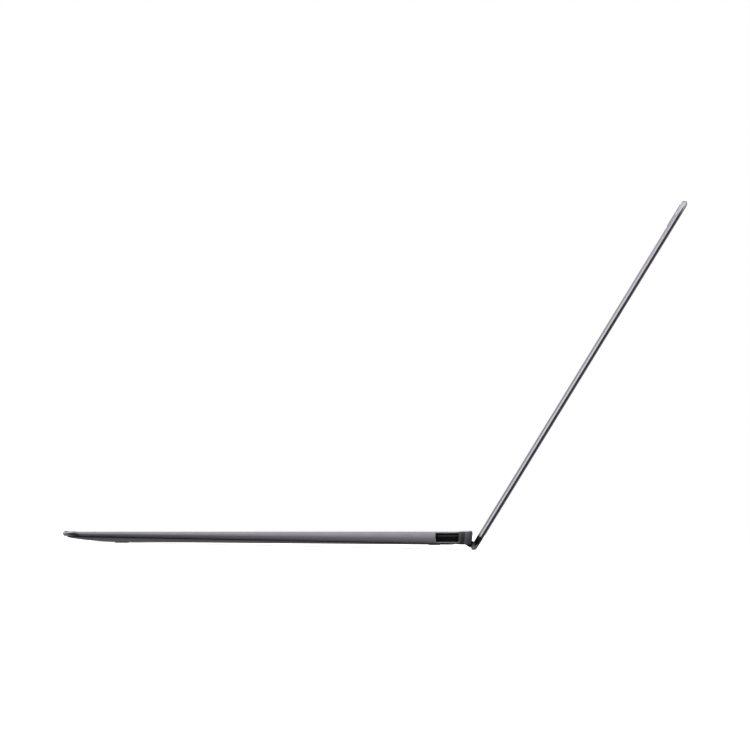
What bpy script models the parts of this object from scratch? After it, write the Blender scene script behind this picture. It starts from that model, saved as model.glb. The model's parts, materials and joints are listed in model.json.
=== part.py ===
"""A thin clamshell laptop computer with its lid open, as an assembly of separate pieces.

Sizes are in millimetres and are turned into metres when a mesh is made. The base is modelled in its
own frame: X to the right, Y from the front edge to the hinge, Z = 0 on the deck. The lid is modelled
closed, with its origin on the hinge axis, and is then turned open by its pivot. The whole laptop leans
forward a little, because it stands on its front feet and on the pads along the lid's lower edge.
"""

import math

import bmesh
import bpy
from mathutils import Matrix, Vector

MM = 0.001

# ---- driving sizes of the base
WIDTH = 304.0
DEPTH = 217.0
CORNER_RADIUS = 9.5
DECK_THICKNESS = 1.1
EDGE_CHAMFER = 0.65
SIDE_WALL = 1.8
SEAM_DEPTH_FRONT = 2.83
SEAM_DEPTH_REAR = 7.029
BOTTOM_DEPTH_FRONT = 5.75
BOTTOM_DEPTH_REAR = 7.6
NOSE_LENGTH = 26.0
FLANK_WIDTH = 13.0
TAIL_LENGTH = 3.0
FLANK_POWER = 1.7
COVER_THICKNESS = 0.9
FIT_GAP = 0.3
CLOSE_GAP = 0.15

# ---- hinge and lid
HINGE_FROM_REAR = 3.3
HINGE_DEPTH = 3.84
LID_OPEN_DEG = 121.5
LID_INNER = 4.90
LID_THICKNESS = 3.3
LID_TAIL = 3.11
LID_SKIN = 0.9
LID_RIM = 1.5
BARREL_RADIUS = 3.1
BARREL_CLEARANCE = 0.6
NECK_SETBACK = 0.3
EAR_WIDTH = 24.0
SHAFT_RADIUS = 1.2
SHAFT_CLEARANCE = 0.15
BRACKET_LENGTH = 7.0
EAR_SKIN = 1.4
GLASS_THICKNESS = 0.6
PANEL_THICKNESS = 0.9
BUMPER_PROUD = 0.75
BUMPER_SINK = 0.05
BUMPER_WIDTH = 2.4
BUMPER_INSET = 1.8
BUMPER_SHORT = 14.0
CHIN_LENGTH = 4.6
CAMERA_SPACE = 8.0
CAMERA_HALF_WIDTH = 22.0
PANEL_BORDER = 6.0
PANEL_FOOT = 5.0

# ---- keyboard
KEY_PITCH_X = 18.3
KEY_PITCH_Y = 18.0
FUNCTION_PITCH_Y = 10.5
KEY_GAP = 2.6
KEY_CLEARANCE = 0.4
KEY_THICKNESS = 1.4
KEY_TRAVEL = 1.2
KEYS_FROM_REAR = 22.0
ROW_UNITS = 14.5
FUNCTION_KEYS = 15
FRAME_MARGIN = 1.4
FRAME_THICKNESS = 0.9
PLATE_THICKNESS = 0.5

# ---- touchpad, power button, speakers
TOUCHPAD_WIDTH = 120.0
TOUCHPAD_THICKNESS = 0.9
PALM_MARGIN = 6.0
TOUCHPAD_TRAVEL_DEG = 0.25
TOUCHPAD_DROP = 0.6
POWER_RADIUS = 5.0
POWER_FROM_REAR = 27.0
POWER_TRAVEL = 0.4
SPEAKER_WIDTH = 10.0
SPEAKER_LENGTH = 62.0
GRILLE_SLOT = 1.0
GRILLE_PITCH = 6.0

# ---- sockets
USB_A_WIDTH = 12.8
USB_A_HEIGHT = 4.6
USB_A_TOP = 1.15
USB_A_FROM_REAR = 6.5
USB_A_LENGTH = 13.5
USB_C_WIDTH = 9.2
USB_C_HEIGHT = 3.3
USB_C_LENGTH = 8.0
USB_C_PITCH = 15.0
SOCKET_DEPTH_LEFT = 3.3
LEFT_SOCKETS_FROM_REAR = 24.0
JACK_RADIUS = 1.75
JACK_LENGTH = 12.0
SOCKET_WALL = 0.35
SOCKET_RECESS = 0.5
SOCKET_BACK = 1.0
USB_A_TONGUE_THICKNESS = 1.1
USB_A_TONGUE_DROP = 0.8
USB_C_TONGUE_THICKNESS = 0.7
USB_C_TONGUE_INSET = 1.3
TONGUE_RECESS = 0.8

# ---- feet and pads
FOOT_LENGTH = 46.0
FOOT_WIDTH = 6.0
FRONT_FOOT_HEIGHT = 0.5
REAR_FOOT_HEIGHT = 0.7
FRONT_FOOT_Y = 29.0
REAR_FOOT_FROM_REAR = 20.0
FEET_X = 100.0
LID_PAD_LENGTH = 60.0
LID_PAD_PROUD = 0.35

# ---- inside
BOARD_THICKNESS = 0.6
FAN_RADIUS = 21.0
FAN_FROM_REAR = 43.0
FAN_X = 94.0
FAN_BLADES = 13
FAN_WALL = 1.0
FAN_LID = 0.4
FAN_HUB_RADIUS = 6.5
FAN_TIP_CLEARANCE = 2.4
BLADE_SWEEP = 0.28
BLADE_TIP = (0.72, 0.86)
BOARD_MARGIN = 4.0
PIPE_WIDTH = 7.0
PIPE_THICKNESS = 1.0
BATTERY_THICKNESS = 1.5
DRIVE_LENGTH = 42.0
DRIVE_WIDTH = 22.0
DRIVE_THICKNESS = 0.8
SCREW_RADIUS = 2.2
SCREW_INSET = 18.0

# ---- worked out from the sizes above
HALF_WIDTH = WIDTH / 2
SEAM_SLOPE = (SEAM_DEPTH_REAR - SEAM_DEPTH_FRONT) / DEPTH
BOTTOM_SLOPE = (BOTTOM_DEPTH_REAR - BOTTOM_DEPTH_FRONT) / DEPTH
HINGE_Y = DEPTH - HINGE_FROM_REAR
LID_OUTER = LID_INNER + LID_THICKNESS
EAR_INNER_X = HALF_WIDTH - EAR_WIDTH
TROUGH_Y = HINGE_Y - BARREL_RADIUS - BARREL_CLEARANCE
CAVITY_REAR_Y = TROUGH_Y - 5.0
COVER_REAR_Y = TROUGH_Y - 2.0
KEY_FIELD_WIDTH = ROW_UNITS * KEY_PITCH_X
KEY_FIELD_REAR = DEPTH - KEYS_FROM_REAR
KEY_FIELD_FRONT = KEY_FIELD_REAR - FUNCTION_PITCH_Y - 5 * KEY_PITCH_Y
FRAME_HALF = KEY_FIELD_WIDTH / 2 + FRAME_MARGIN
FRAME_FRONT = KEY_FIELD_FRONT - FRAME_MARGIN
FRAME_REAR = KEY_FIELD_REAR + FRAME_MARGIN
KEY_TOP = -0.1
KEY_BOTTOM = KEY_TOP - KEY_THICKNESS
PLATE_TOP = KEY_BOTTOM - KEY_TRAVEL - FIT_GAP
PLATE_BOTTOM = PLATE_TOP - PLATE_THICKNESS
TOUCHPAD_FRONT = PALM_MARGIN
TOUCHPAD_REAR = FRAME_FRONT - PALM_MARGIN
SPEAKER_X = (FRAME_HALF + HALF_WIDTH - SIDE_WALL) / 2
POWER_Y = DEPTH - POWER_FROM_REAR
LID_FRONT = -HINGE_Y
BOARD_TOP = PLATE_BOTTOM - FIT_GAP
BOARD_BOTTOM = BOARD_TOP - BOARD_THICKNESS
FAN_Y = DEPTH - FAN_FROM_REAR
USB_C_PLACES = (DEPTH - LEFT_SOCKETS_FROM_REAR, DEPTH - LEFT_SOCKETS_FROM_REAR - USB_C_PITCH)
JACK_Y = USB_C_PLACES[1] - USB_C_PITCH
SPEAKER_REAR = JACK_Y - JACK_RADIUS - 4.0
SPEAKER_FRONT = SPEAKER_REAR - SPEAKER_LENGTH
SCREW_PLACES = [
    (side * (HALF_WIDTH - SCREW_INSET), y)
    for side in (-1, 1)
    for y in (NOSE_LENGTH + 14.0, COVER_REAR_Y - 9.0)
]
USB_A_POCKET = (
    (HALF_WIDTH - USB_A_LENGTH - FIT_GAP, DEPTH - USB_A_FROM_REAR - USB_A_WIDTH, -USB_A_TOP - USB_A_HEIGHT),
    (HALF_WIDTH + 1.0, DEPTH - USB_A_FROM_REAR, -USB_A_TOP),
)


def seam_z(y):
    """Height of the seam between the top case and the bottom cover."""
    return -(SEAM_DEPTH_FRONT + SEAM_SLOPE * y)


def bottom_z(y):
    """Height of the flat underside of the bottom cover."""
    return -(BOTTOM_DEPTH_FRONT + BOTTOM_SLOPE * y)


def finish(name, colour, roughness, metallic):
    """A plain material with one colour."""
    material = bpy.data.materials.new(name)
    material.use_nodes = True
    shader = material.node_tree.nodes["Principled BSDF"]
    shader.inputs["Base Color"].default_value = (*colour, 1.0)
    shader.inputs["Roughness"].default_value = roughness
    shader.inputs["Metallic"].default_value = metallic
    return material


def add_object(name, bm, parent, material=None, smooth=False):
    """Turn a bmesh in millimetres into an object in metres under its parent."""
    bmesh.ops.scale(bm, vec=(MM, MM, MM), verts=bm.verts)
    bmesh.ops.recalc_face_normals(bm, faces=bm.faces)
    mesh = bpy.data.meshes.new(name)
    bm.to_mesh(mesh)
    bm.free()
    if smooth:
        mesh.shade_smooth()
        mesh.set_sharp_from_angle(angle=math.radians(35))
    obj = bpy.data.objects.new(name, mesh)
    bpy.context.collection.objects.link(obj)
    obj.parent = parent
    if material:
        obj.data.materials.append(material)
    return obj


def add_empty(name, parent, location=(0, 0, 0)):
    """An empty that places or turns what is parented to it."""
    empty = bpy.data.objects.new(name, None)
    bpy.context.collection.objects.link(empty)
    empty.parent = parent
    empty.location = Vector(location) * MM
    return empty


def as_cutter(obj):
    """Hide a helper that only shapes another piece."""
    obj.hide_render = True
    obj.display_type = "WIRE"
    return obj


def boolean(obj, cutter, operation="DIFFERENCE"):
    """Cut a helper out of a piece, or join it on."""
    modifier = obj.modifiers.new(operation.title(), "BOOLEAN")
    modifier.operation = operation
    modifier.solver = "EXACT"
    modifier.object = as_cutter(cutter)
    return obj


def box_into(bm, low, high):
    """Add a box between two corners to a bmesh."""
    corners = [
        bm.verts.new((x, y, z))
        for x in (low[0], high[0])
        for y in (low[1], high[1])
        for z in (low[2], high[2])
    ]
    for a, b, c, d in ((0, 1, 3, 2), (4, 6, 7, 5), (0, 4, 5, 1), (2, 3, 7, 6), (0, 2, 6, 4), (1, 5, 7, 3)):
        bm.faces.new((corners[a], corners[b], corners[c], corners[d]))


def boxes(name, corner_pairs, parent, material=None):
    """One object with a box for each pair of corners."""
    bm = bmesh.new()
    for low, high in corner_pairs:
        box_into(bm, low, high)
    return add_object(name, bm, parent, material)


def rod(name, start, end, radius, parent, material=None, sides=24):
    """A round rod between two points."""
    start, end = Vector(start), Vector(end)
    bm = bmesh.new()
    bmesh.ops.create_cone(
        bm, cap_ends=True, segments=sides, radius1=radius, radius2=radius, depth=(end - start).length
    )
    turn = (end - start).to_track_quat("Z", "Y").to_matrix()
    bmesh.ops.rotate(bm, cent=(0, 0, 0), matrix=turn, verts=bm.verts)
    bmesh.ops.translate(bm, vec=(start + end) / 2, verts=bm.verts)
    return add_object(name, bm, parent, material, smooth=True)


def prism(name, outline, low, high, axis, parent, material=None, smooth=False):
    """A flat outline extruded along Z (or along X, where the outline is given as Y and Z)."""
    bm = bmesh.new()
    if axis == "Z":
        rings = [[bm.verts.new((a, b, level)) for a, b in outline] for level in (low, high)]
    else:
        rings = [[bm.verts.new((level, a, b)) for a, b in outline] for level in (low, high)]
    close_rings(bm, rings)
    return add_object(name, bm, parent, material, smooth)


def close_rings(bm, rings):
    """Join rings of equal length with quads, and cap the first and the last."""
    count = len(rings[0])
    for lower, upper in zip(rings, rings[1:]):
        for i in range(count):
            j = (i + 1) % count
            bm.faces.new((lower[i], lower[j], upper[j], upper[i]))
    bm.faces.new(rings[0])
    bm.faces.new(rings[-1])


def rounded_outline(left, right, front, rear, radius, steps=5):
    """Points of a rectangle with round corners, counter-clockwise seen from above."""
    centres = (
        (right - radius, rear - radius, 0),
        (left + radius, rear - radius, 90),
        (left + radius, front + radius, 180),
        (right - radius, front + radius, 270),
    )
    points = []
    for x, y, start in centres:
        for step in range(steps + 1):
            angle = math.radians(start + 90 * step / steps)
            points.append((x + radius * math.cos(angle), y + radius * math.sin(angle)))
    return points


def ring_at(bm, outline, height):
    """A ring of vertices above an outline, its height a number or a function of y."""
    return [bm.verts.new((x, y, height(y) if callable(height) else height)) for x, y in outline]


def base_outline(side, front, rear):
    """The base's plan outline, set in by its own amount at the sides, the front and the rear."""
    return rounded_outline(-HALF_WIDTH + side, HALF_WIDTH - side, front, DEPTH - rear, CORNER_RADIUS)


def slot_cutter(name, centres, size, parent):
    """A row of box-shaped slots."""
    half = Vector(size) / 2
    return boxes(name, [(Vector(c) - half, Vector(c) + half) for c in centres], parent)


# ---- materials
def make_finishes():
    """All finishes, by name."""
    return {
        "shell": finish("anodised_grey", (0.235, 0.225, 0.255), 0.38, 1.0),
        "cover": finish("cover_grey", (0.20, 0.19, 0.215), 0.42, 1.0),
        "key": finish("key_black", (0.018, 0.018, 0.020), 0.55, 0.0),
        "frame": finish("frame_black", (0.03, 0.03, 0.033), 0.6, 0.0),
        "glass": finish("display_glass", (0.008, 0.008, 0.010), 0.06, 0.0),
        "touch": finish("touchpad_grey", (0.17, 0.165, 0.185), 0.3, 0.0),
        "rubber": finish("rubber_black", (0.02, 0.02, 0.02), 0.8, 0.0),
        "steel": finish("steel", (0.55, 0.55, 0.56), 0.3, 1.0),
        "copper": finish("copper", (0.72, 0.35, 0.20), 0.3, 1.0),
        "board": finish("board_green", (0.02, 0.07, 0.04), 0.5, 0.0),
        "plastic": finish("inner_plastic", (0.04, 0.04, 0.045), 0.6, 0.0),
    }


# ---- base shells
def make_top_case(base, looks):
    """The upper shell: deck, side walls down to the seam, solid ears and rear wall."""
    bm = bmesh.new()
    wall_foot = 0.3
    rings = [
        ring_at(bm, base_outline(EDGE_CHAMFER, EDGE_CHAMFER, EDGE_CHAMFER), 0.0),
        ring_at(bm, base_outline(0.08, 0.1, 0.08), -EDGE_CHAMFER),
        ring_at(bm, base_outline(0.0, 0.0, 0.0), lambda y: (seam_z(y) - EDGE_CHAMFER) / 2),
        ring_at(bm, base_outline(wall_foot, 1.6, 0.6), seam_z),
    ]
    inner = rounded_outline(
        -HALF_WIDTH + SIDE_WALL, HALF_WIDTH - SIDE_WALL, 4.2, CAVITY_REAR_Y, CORNER_RADIUS - 2.0
    )
    rings.append(ring_at(bm, inner, seam_z))
    rings.append(ring_at(bm, inner, -DECK_THICKNESS))
    close_rings(bm, rings)
    case = add_object("top_case", bm, base, looks["shell"], smooth=True)

    tall = 20.0
    boolean(case, boxes("trough_cut", [
        ((-EAR_INNER_X, TROUGH_Y, -tall), (EAR_INNER_X, DEPTH + tall, tall))], base))
    boolean(case, boxes("keyboard_cut", [
        ((-FRAME_HALF - FIT_GAP, FRAME_FRONT - FIT_GAP, -DECK_THICKNESS - 1.0),
         (FRAME_HALF + FIT_GAP, FRAME_REAR + FIT_GAP, 1.0))], base))
    boolean(case, prism("touchpad_cut", rounded_outline(
        -TOUCHPAD_WIDTH / 2 - FIT_GAP, TOUCHPAD_WIDTH / 2 + FIT_GAP,
        TOUCHPAD_FRONT - FIT_GAP, TOUCHPAD_REAR + FIT_GAP, 3.3, 3), -DECK_THICKNESS - 1.0, 1.0, "Z", base))
    boolean(case, rod("power_cut", (SPEAKER_X, POWER_Y, -DECK_THICKNESS - 1.0), (SPEAKER_X, POWER_Y, 1.0),
                      POWER_RADIUS + FIT_GAP, base))
    grille = [
        (side * SPEAKER_X, y, 0.0)
        for side in (-1, 1)
        for y in spread(SPEAKER_FRONT + 4.0, SPEAKER_REAR - 4.0, GRILLE_PITCH)
    ]
    boolean(case, slot_cutter("grille_cut", grille, (SPEAKER_WIDTH - 3.0, GRILLE_SLOT, 6.0), base))
    boolean(case, boxes("usb_a_cut", [USB_A_POCKET], base))
    boolean(case, boxes("usb_c_cut", [socket_pocket(y, USB_C_WIDTH, USB_C_HEIGHT)
                                      for y in USB_C_PLACES], base))
    boolean(case, rod("jack_cut", (-HALF_WIDTH - 1.0, JACK_Y, -SOCKET_DEPTH_LEFT),
                      (-HALF_WIDTH + SIDE_WALL + 1.0, JACK_Y, -SOCKET_DEPTH_LEFT),
                      JACK_RADIUS + SOCKET_WALL + FIT_GAP, base))
    vents = [
        (side * x, (CAVITY_REAR_Y + TROUGH_Y) / 2, -3.4)
        for side in (-1, 1)
        for x in spread(FAN_X - 26.0, FAN_X + 26.0, 8.0)
    ]
    boolean(case, slot_cutter("vent_cut", vents, (6.0, TROUGH_Y - CAVITY_REAR_Y + 2.0, 2.0), base))
    for side in (-1, 1):
        near, far = sorted((side * (EAR_INNER_X + EAR_SKIN),
                            side * (EAR_INNER_X + EAR_SKIN + BRACKET_LENGTH)))
        boolean(case, boxes("bracket_cut", [
            ((near - FIT_GAP, HINGE_Y - 2.6 - FIT_GAP, -tall),
             (far + FIT_GAP, HINGE_Y + 2.0 + FIT_GAP, -HINGE_DEPTH + 2.0 + FIT_GAP))], base))
        boolean(case, rod("shaft_cut", (side * (EAR_INNER_X - 1.0), HINGE_Y, -HINGE_DEPTH),
                          (side * (EAR_INNER_X + 3.0), HINGE_Y, -HINGE_DEPTH),
                          SHAFT_RADIUS + FIT_GAP, base))
    return case


def flank(t):
    """How far the flank has come down, 0 to 1, at a share t of its width."""
    return (1 - (1 - t) ** FLANK_POWER) ** (1 / FLANK_POWER)


def cover_outline(t):
    """The bottom cover's outline where its flank has run in by a share t of its width."""
    return rounded_outline(
        -HALF_WIDTH + 0.3 + t * FLANK_WIDTH, HALF_WIDTH - 0.3 - t * FLANK_WIDTH,
        1.6 + t * NOSE_LENGTH, COVER_REAR_Y - t * TAIL_LENGTH, CORNER_RADIUS, 5)


def make_bottom_cover(base, looks):
    """The lower shell: a tray with a curved nose and flanks, air inlets and screw holes."""
    bm = bmesh.new()
    def top(y):
        """Height of the cover's rim, just under the seam."""
        return seam_z(y) - FIT_GAP

    floor = rounded_outline(-HALF_WIDTH + FLANK_WIDTH, HALF_WIDTH - FLANK_WIDTH, NOSE_LENGTH,
                            COVER_REAR_Y - TAIL_LENGTH - 0.6, CORNER_RADIUS - 2.0)
    rim = rounded_outline(-HALF_WIDTH + SIDE_WALL + 0.6, HALF_WIDTH - SIDE_WALL - 0.6, 6.0,
                          COVER_REAR_Y - 2.4, CORNER_RADIUS - 2.0)
    rings = [ring_at(bm, floor, lambda y: bottom_z(y) + COVER_THICKNESS), ring_at(bm, rim, top)]
    for share in (0.0, 0.05, 0.14, 0.27, 0.45, 0.7, 1.0):
        drop = flank(share)
        rings.append(ring_at(bm, cover_outline(share),
                             lambda y, drop=drop: top(y) + drop * (bottom_z(y) - top(y))))
    close_rings(bm, rings)
    cover = add_object("bottom_cover", bm, base, looks["cover"], smooth=True)
    inlets = [
        (side * FAN_X, y, bottom_z(y))
        for side in (-1, 1)
        for y in spread(FAN_Y - 14.0, FAN_Y + 14.0, 4.0)
    ]
    boolean(cover, slot_cutter("inlet_cut", inlets, (34.0, 1.6, 6.0), base))
    holes = bmesh.new()
    for x, y in SCREW_PLACES:
        bmesh.ops.create_cone(
            holes, cap_ends=True, segments=16, radius1=SCREW_RADIUS + CLOSE_GAP,
            radius2=SCREW_RADIUS + CLOSE_GAP, depth=6.0,
            matrix=Matrix.Translation((x, y, bottom_z(y))))
    boolean(cover, add_object("screw_cut", holes, base))
    return cover


def spread(first, last, pitch):
    """Evenly spaced values from first to last, about a pitch apart."""
    count = max(2, round((last - first) / pitch) + 1)
    return [first + (last - first) * i / (count - 1) for i in range(count)]


def socket_pocket(y, width, height):
    """Corners of the hole for a socket in the left wall."""
    return (
        (-HALF_WIDTH - 1.0, y - width / 2 - FIT_GAP, -SOCKET_DEPTH_LEFT - height / 2 - FIT_GAP),
        (-HALF_WIDTH + SIDE_WALL + 1.0, y + width / 2 + FIT_GAP, -SOCKET_DEPTH_LEFT + height / 2 + FIT_GAP),
    )


def make_feet(base, looks):
    """Four rubber feet; the front pair's soles lie flat on the floor when the lid is open."""
    places = (("front", FRONT_FOOT_Y, FRONT_FOOT_HEIGHT),
              ("rear", DEPTH - REAR_FOOT_FROM_REAR, REAR_FOOT_HEIGHT))
    for row, y, height in places:
        for side_name, side in (("left", -1), ("right", 1)):
            bm = bmesh.new()
            middle = side * FEET_X
            outline = rounded_outline(middle - FOOT_LENGTH / 2, middle + FOOT_LENGTH / 2,
                                      y - FOOT_WIDTH / 2, y + FOOT_WIDTH / 2, FOOT_WIDTH / 2 - 0.1, 4)
            lean = math.tan(LEAN) if row == "front" else BOTTOM_SLOPE
            sole = bottom_z(y) - height
            rings = [ring_at(bm, outline, lambda v: bottom_z(v) - CLOSE_GAP),
                     ring_at(bm, outline, lambda v: sole - (v - y) * lean)]
            close_rings(bm, rings)
            add_object(f"foot_{row}_{side_name}", bm, base, looks["rubber"], smooth=True)


# ---- keyboard
def key_rows():
    """Every key as (node name, left, right, front, rear), in millimetres."""
    left = -KEY_FIELD_WIDTH / 2
    rows = (
        (("left_modifier_keys", (1.25, 1, 1, 1)), ("space_bar", (5.25,)), ("right_modifier_keys", (1, 1)),
         ("arrow_left_key", (1,)), ("arrow_pair", (1,)), ("arrow_right_key", (1,))),
        (("left_shift_key", (2.25,)), ("lower_row_keys", (1,) * 10), ("right_shift_key", (2.25,))),
        (("caps_lock_key", (1.75,)), ("home_row_keys", (1,) * 11), ("enter_key", (1.75,))),
        (("tab_key", (1.5,)), ("upper_row_keys", (1,) * 13)),
        (("number_row_keys", (1,) * 13), ("backspace_key", (1.5,))),
        (("function_row_keys", (ROW_UNITS / FUNCTION_KEYS,) * FUNCTION_KEYS),),
    )
    keys = []
    front = KEY_FIELD_FRONT
    for number, row in enumerate(rows):
        depth = KEY_PITCH_Y if number < 5 else FUNCTION_PITCH_Y
        x = left
        for name, units in row:
            for unit in units:
                right = x + unit * KEY_PITCH_X
                if name == "arrow_pair":
                    middle = front + depth / 2
                    keys.append(("arrow_down_key", x, right, front, middle + KEY_GAP / 2 - 0.5))
                    keys.append(("arrow_up_key", x, right, middle - KEY_GAP / 2 + 0.5, front + depth))
                else:
                    keys.append((name, x, right, front, front + depth))
                x = right
        front += depth
    return keys


def make_keyboard(base, looks):
    """The frame, the plate under it, and the keys, each bank of equal keys on one carrier strip."""
    keys = key_rows()
    half_gap = KEY_GAP / 2
    frame = boxes("keyboard_frame", [
        ((-FRAME_HALF, FRAME_FRONT, KEY_TOP - FRAME_THICKNESS), (FRAME_HALF, FRAME_REAR, KEY_TOP))],
        base, looks["frame"])
    grow = half_gap - KEY_CLEARANCE
    boolean(frame, boxes("key_hole_cut", [
        ((left + grow, front + grow, KEY_TOP - 3.0), (right - grow, rear - grow, KEY_TOP + 2.0))
        for _, left, right, front, rear in keys], base))
    boxes("keyboard_plate", [
        ((-FRAME_HALF, FRAME_FRONT, PLATE_BOTTOM), (FRAME_HALF, FRAME_REAR, PLATE_TOP))],
        base, looks["steel"])
    names = list(dict.fromkeys(key[0] for key in keys))
    for name in names:
        caps = [key for key in keys if key[0] == name]
        bank = boxes(name, [
            ((left + half_gap, front + half_gap, KEY_BOTTOM), (right - half_gap, rear - half_gap, KEY_TOP))
            for _, left, right, front, rear in caps], base, looks["key"])
        if len(caps) > 1:
            middle = (caps[0][3] + caps[0][4]) / 2
            strip_top = KEY_TOP - FRAME_THICKNESS - 0.2
            boolean(bank, boxes(name + "_strip", [
                ((caps[0][1] + KEY_GAP, middle - 1.5, KEY_BOTTOM + 0.05),
                 (caps[-1][2] - KEY_GAP, middle + 1.5, strip_top))], base), "UNION")


# ---- touchpad, power button, sockets
def make_touchpad(base, looks):
    """The pad, which tips about its rear edge, and the bracket that carries it."""
    outline = rounded_outline(-TOUCHPAD_WIDTH / 2, TOUCHPAD_WIDTH / 2, TOUCHPAD_FRONT, TOUCHPAD_REAR, 3.0, 3)
    prism("touchpad", outline,
          KEY_TOP - TOUCHPAD_THICKNESS, KEY_TOP, "Z", base, looks["touch"])
    top = KEY_TOP - TOUCHPAD_THICKNESS - TOUCHPAD_DROP
    boxes("touchpad_bracket", [
        ((-TOUCHPAD_WIDTH / 2 - 4.0, TOUCHPAD_FRONT + 2.0, top - PLATE_THICKNESS),
         (TOUCHPAD_WIDTH / 2 + 4.0, TOUCHPAD_REAR + 3.0, top))], base, looks["steel"])


def make_power_button(base, looks):
    """The round power button in the deck."""
    rod("power_button", (SPEAKER_X, POWER_Y, KEY_TOP - 0.8), (SPEAKER_X, POWER_Y, KEY_TOP),
        POWER_RADIUS, base, looks["shell"], 32)


def make_sockets(base, looks):
    """A wide socket on the right, two small ones and a round one on the left."""
    low, high = (Vector(corner) for corner in USB_A_POCKET)
    gap = Vector((0.0, 0.25, 0.2))
    low, high = low + gap + Vector((FIT_GAP, 0, 0)), high - gap
    high.x = HALF_WIDTH - 2 * SOCKET_RECESS
    shell = boxes("usb_a_port", [(low, high)], base, looks["steel"])
    wall = Vector((0.0, SOCKET_WALL, SOCKET_WALL))
    inside_low, inside_high = low + wall + Vector((SOCKET_BACK, 0, 0)), high - wall + Vector((1.0, 0, 0))
    boolean(shell, boxes("usb_a_mouth_cut", [(inside_low, inside_high)], base))
    boolean(shell, boxes("usb_a_tongue", [
        ((low.x + SOCKET_BACK / 2, low.y + SOCKET_BACK, high.z - USB_A_TONGUE_DROP - USB_A_TONGUE_THICKNESS),
         (high.x - TONGUE_RECESS - 0.4, high.y - SOCKET_BACK, high.z - USB_A_TONGUE_DROP))], base), "UNION")

    for name, y in zip(("usb_c_port_rear", "usb_c_port_front"), USB_C_PLACES):
        z = -SOCKET_DEPTH_LEFT
        near, far = -HALF_WIDTH + SOCKET_RECESS, -HALF_WIDTH + USB_C_LENGTH
        radius = USB_C_HEIGHT / 2 - 0.05
        outline = rounded_outline(y - USB_C_WIDTH / 2, y + USB_C_WIDTH / 2,
                                  z - USB_C_HEIGHT / 2, z + USB_C_HEIGHT / 2, radius, 3)
        shell = prism(name, outline, near, far, "X", base, looks["steel"], smooth=True)
        mouth = rounded_outline(y - USB_C_WIDTH / 2 + SOCKET_WALL, y + USB_C_WIDTH / 2 - SOCKET_WALL,
                                z - USB_C_HEIGHT / 2 + SOCKET_WALL, z + USB_C_HEIGHT / 2 - SOCKET_WALL,
                                radius - SOCKET_WALL, 3)
        boolean(shell, prism(name + "_mouth_cut", mouth, near - 1.0, far - SOCKET_BACK, "X", base))
        boolean(shell, boxes(name + "_tongue", [
            ((near + TONGUE_RECESS, y - USB_C_WIDTH / 2 + USB_C_TONGUE_INSET, z - USB_C_TONGUE_THICKNESS / 2),
             (far - SOCKET_BACK / 2, y + USB_C_WIDTH / 2 - USB_C_TONGUE_INSET,
              z + USB_C_TONGUE_THICKNESS / 2))], base), "UNION")

    z = -SOCKET_DEPTH_LEFT
    near = -HALF_WIDTH + SOCKET_RECESS
    jack = rod("audio_jack", (near, JACK_Y, z), (near + JACK_LENGTH, JACK_Y, z),
               JACK_RADIUS + SOCKET_WALL, base, looks["plastic"], 20)
    boolean(jack, rod("jack_bore_cut", (near - 1.0, JACK_Y, z), (near + JACK_LENGTH - SOCKET_BACK, JACK_Y, z),
                      JACK_RADIUS, base, sides=20))


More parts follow.
